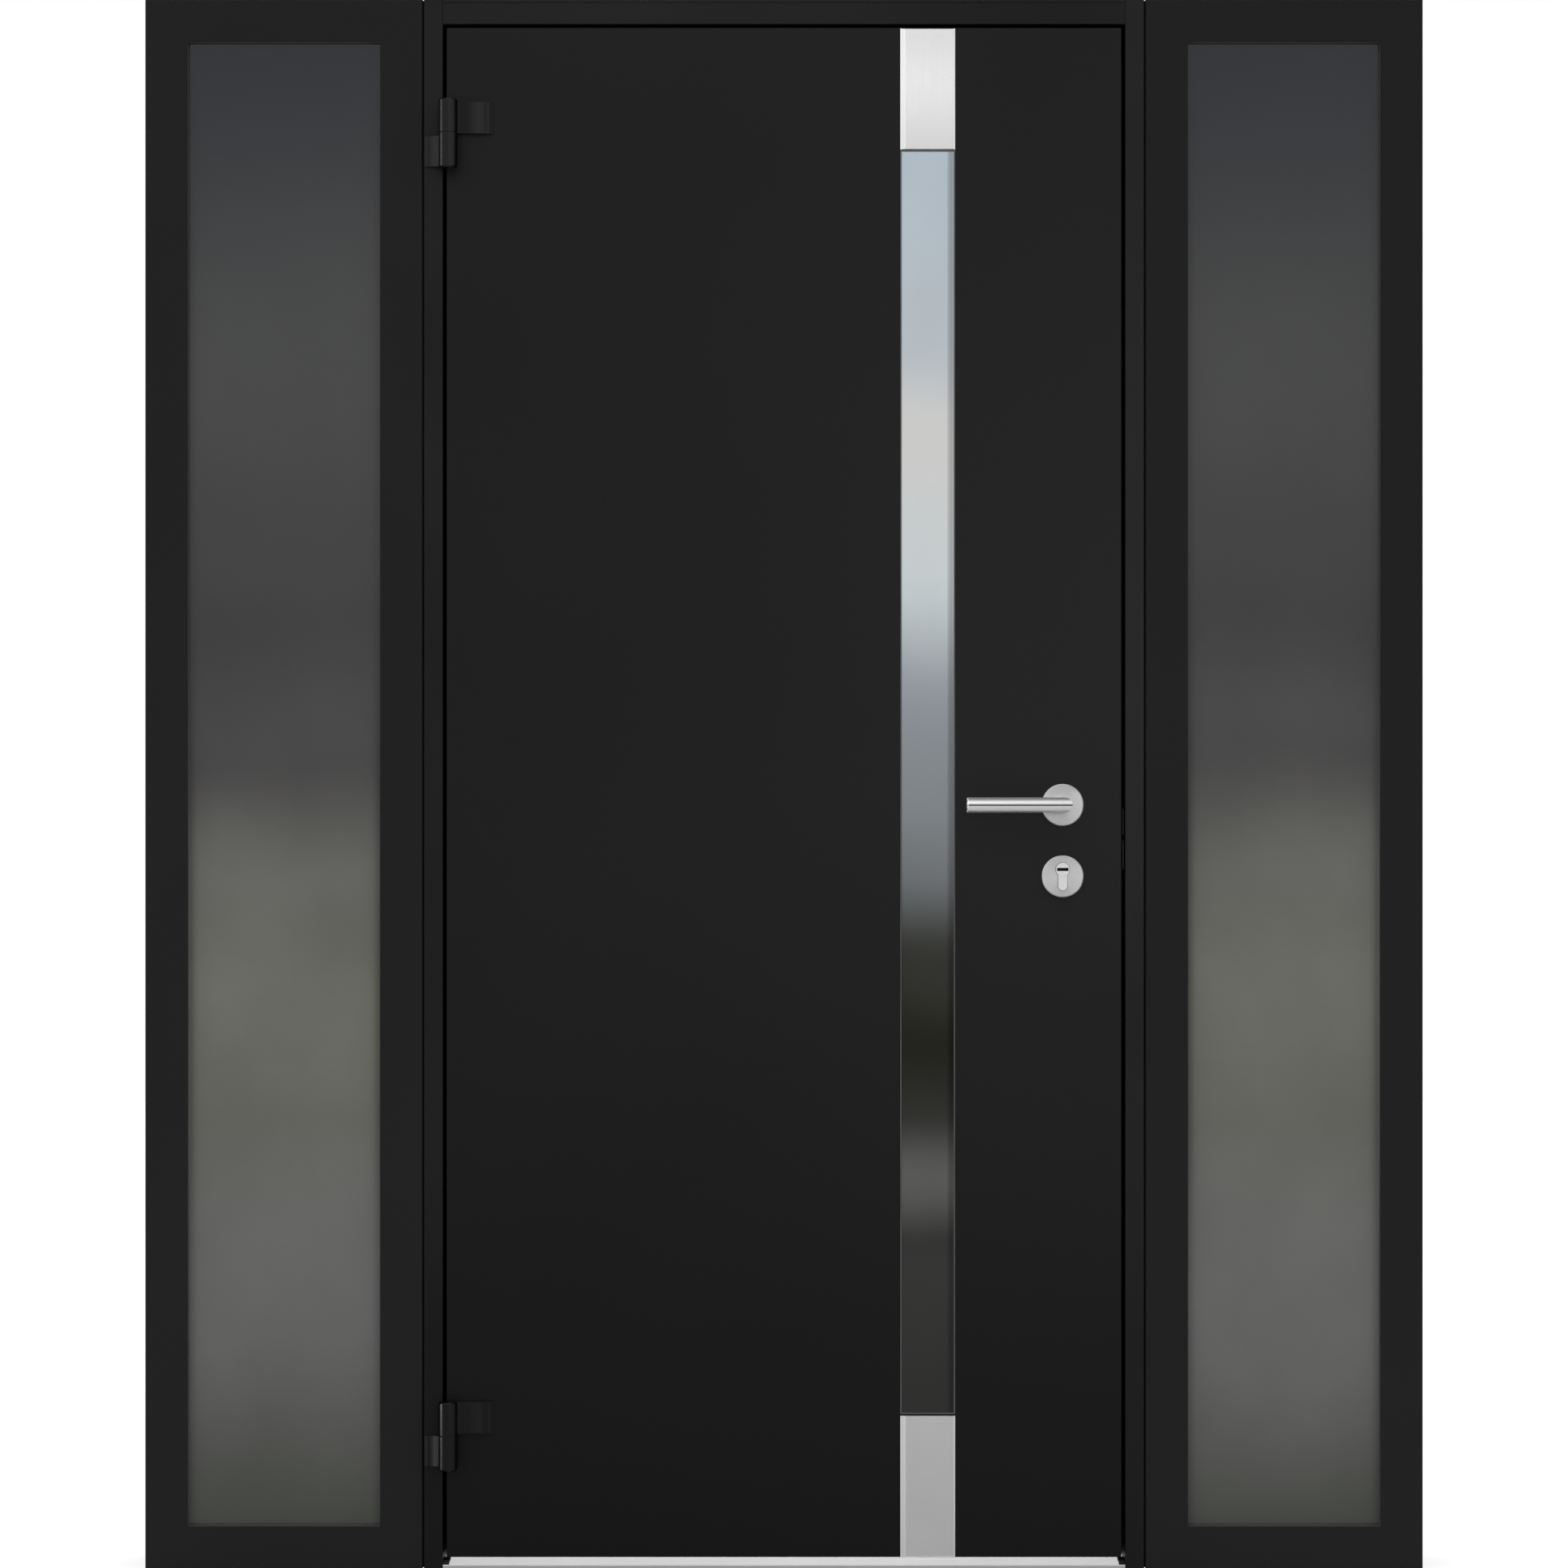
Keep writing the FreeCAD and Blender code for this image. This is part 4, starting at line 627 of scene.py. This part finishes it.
def addScrews():
    tree = screwTree(bpy.data.materials["lockSteel"])
    margin, plate = screwPlaces["endMargin"], screwPlaces["plate"]
    low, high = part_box("lock_forend")
    slope = math.atan2(high.x - low.x - plate, high.y - low.y)    # the leaf's lock edge is bevelled
    faceX, faceY = (low.x + plate + high.x) / 2, (low.y + high.y) / 2
    heights = (low.z + margin, screwPlaces["cylinderScrew"], high.z - margin)
    setScrews("forend_screws", [(faceX, faceY, z) for z in heights],
              Euler((0, math.radians(90), slope)), tree, "leaf")
    low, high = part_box("strike_plate")
    faceY = (low.y + high.y) / 2
    heights = (low.z + margin, low.z + screwPlaces["strikeLower"],
               high.z - screwPlaces["strikeUpper"], high.z - margin)
    setScrews("strike_screws", [(low.x, faceY, z) for z in heights],
              Euler((0, math.radians(-90), 0)), tree, "frame")


# Floor, sky and lamps

studio = {
    "zenith": (0.96, 0.96, 0.96), "front": (0.93, 0.93, 0.93), "horizon": (0.37, 0.37, 0.37),
    "below": (0.05, 0.05, 0.045), "skySpan": (-0.5, 0.5), "skyStops": (0.445, 0.465, 0.50, 0.545, 1.0),
    "floorReach": 9.0, "floorSides": 96, "floorTone": (0.74, 0.74, 0.74), "floorWhite": (0.9, 0.9, 0.9, 1),
    "floorFade": (3.6, 8.5), "floorGlow": 1.2, "glowShare": 0.6,
}


def makeFloor():
    # the camera sees a white floor with a shadow on it; the pieces mirror a grey one that darkens outwards
    bpy.ops.mesh.primitive_circle_add(vertices=studio["floorSides"], radius=studio["floorReach"],
                                      fill_type="NGON")
    floor = bpy.context.object
    floor.name = "floor"
    material = bpy.data.materials.new("paleFloor")
    material.use_nodes = True
    tree = material.node_tree
    tree.nodes.clear()
    path = addNode(tree, "ShaderNodeLightPath")
    away = mapRange(tree, distance(tree, objectPlace(tree)), studio["floorFade"])
    tones = [(0.0, studio["floorTone"]), (1.0, studio["below"])]
    indirect = addNode(tree, "ShaderNodeBsdfDiffuse", {"Color": ramp(tree, away, tones, "EASE")})
    lit = addNode(tree, "ShaderNodeBsdfDiffuse", {"Color": studio["floorWhite"]})
    glow = addNode(tree, "ShaderNodeEmission", {"Strength": studio["floorGlow"]})
    seen = addNode(tree, "ShaderNodeMixShader", {
        0: studio["glowShare"], 1: lit.outputs[0], 2: glow.outputs[0],
    })
    mixed = addNode(tree, "ShaderNodeMixShader", {
        0: path.outputs["Is Camera Ray"], 1: indirect.outputs[0], 2: seen.outputs[0],
    })
    addNode(tree, "ShaderNodeOutputMaterial", {"Surface": mixed.outputs[0]})
    floor.data.materials.append(material)


def makeSky():
    world = bpy.data.worlds.new("studio")
    scene.world = world
    world.use_nodes = True
    tree = world.node_tree
    tree.nodes.clear()
    path = addNode(tree, "ShaderNodeLightPath")
    direction = addNode(tree, "ShaderNodeTexCoord").outputs["Generated"]
    rise = addNode(tree, "ShaderNodeSeparateXYZ", {0: direction}).outputs["Z"]
    shades = [studio[key] for key in ("below", "below", "horizon", "front", "zenith")]
    tones = list(zip(studio["skyStops"], shades))
    dome = addNode(tree, "ShaderNodeBackground", {
        "Color": ramp(tree, mapRange(tree, rise, studio["skySpan"]), tones),
    })
    white = addNode(tree, "ShaderNodeBackground", {"Color": (1, 1, 1, 1), "Strength": 1.0})
    seen = maths(tree, "MAXIMUM", path.outputs["Is Camera Ray"], path.outputs["Is Transmission Ray"])
    mixed = addNode(tree, "ShaderNodeMixShader", {0: seen, 1: dome.outputs[0], 2: white.outputs[0]})
    addNode(tree, "ShaderNodeOutputWorld", {"Surface": mixed.outputs[0]})


lamps = {
    "overhead": {"place": (-0.8, -2.8, 3.6), "aim": (0.0, 0.0, 1.0), "size": (3.0, 1.4), "power": 16.0},
    "sill": {"place": (0.0, 0.02, 1.6), "aim": (0.0, -0.01, 0.0), "size": (1.4, 0.2), "power": 62.0,
             "only": ["threshold"]},
    "upperHinge": {"place": (-2.6, -0.35, 2.1), "aim": (-0.44, -0.06, 1.9), "size": (0.5, 0.8), "power": 6.0,
                   "only": ["upper_hinge_leaf_half", "upper_hinge_frame_half"]},
    "lowerHinge": {"place": (-2.6, -0.35, 0.16), "aim": (-0.44, -0.06, 0.16), "size": (0.5, 0.3),
                   "power": 20.0, "only": ["lower_hinge_leaf_half", "lower_hinge_frame_half"]},
    "lockSide": {"place": (0.66, -3.0, 1.25), "aim": (0.40, -0.05, 1.1), "size": (0.35, 1.6), "power": 9.0,
                 "only": ["outer_skin", "right_jamb"]},
}


def addLamp(name):
    # a soft lamp; one with only lights those pieces and nothing else
    look = lamps[name]
    lamp = bpy.data.lights.new(name, "AREA")
    lamp.shape = "RECTANGLE"
    lamp.size, lamp.size_y = look["size"]
    lamp.energy = look["power"]
    holder = bpy.data.objects.new(name, lamp)
    holder.location = look["place"]
    aim = Vector(look["aim"]) - Vector(look["place"])
    holder.rotation_euler = aim.to_track_quat("-Z", "Y").to_euler()
    holder.visible_camera = False
    scene.collection.objects.link(holder)
    if "only" in look:
        lit = bpy.data.collections.new(name + "Lit")
        for piece in look["only"]:
            lit.objects.link(nodes[piece])
        holder.light_linking.receiver_collection = lit
        holder.light_linking.blocker_collection = lit


scene.view_settings.view_transform = "Standard"
makeCamera()
makeFloor()
makeSky()
for lampName in lamps:
    addLamp(lampName)
print("camera, floor and lamps ready")

finishPieces()
print("finishes ready")
addScrews()
print("screws ready")
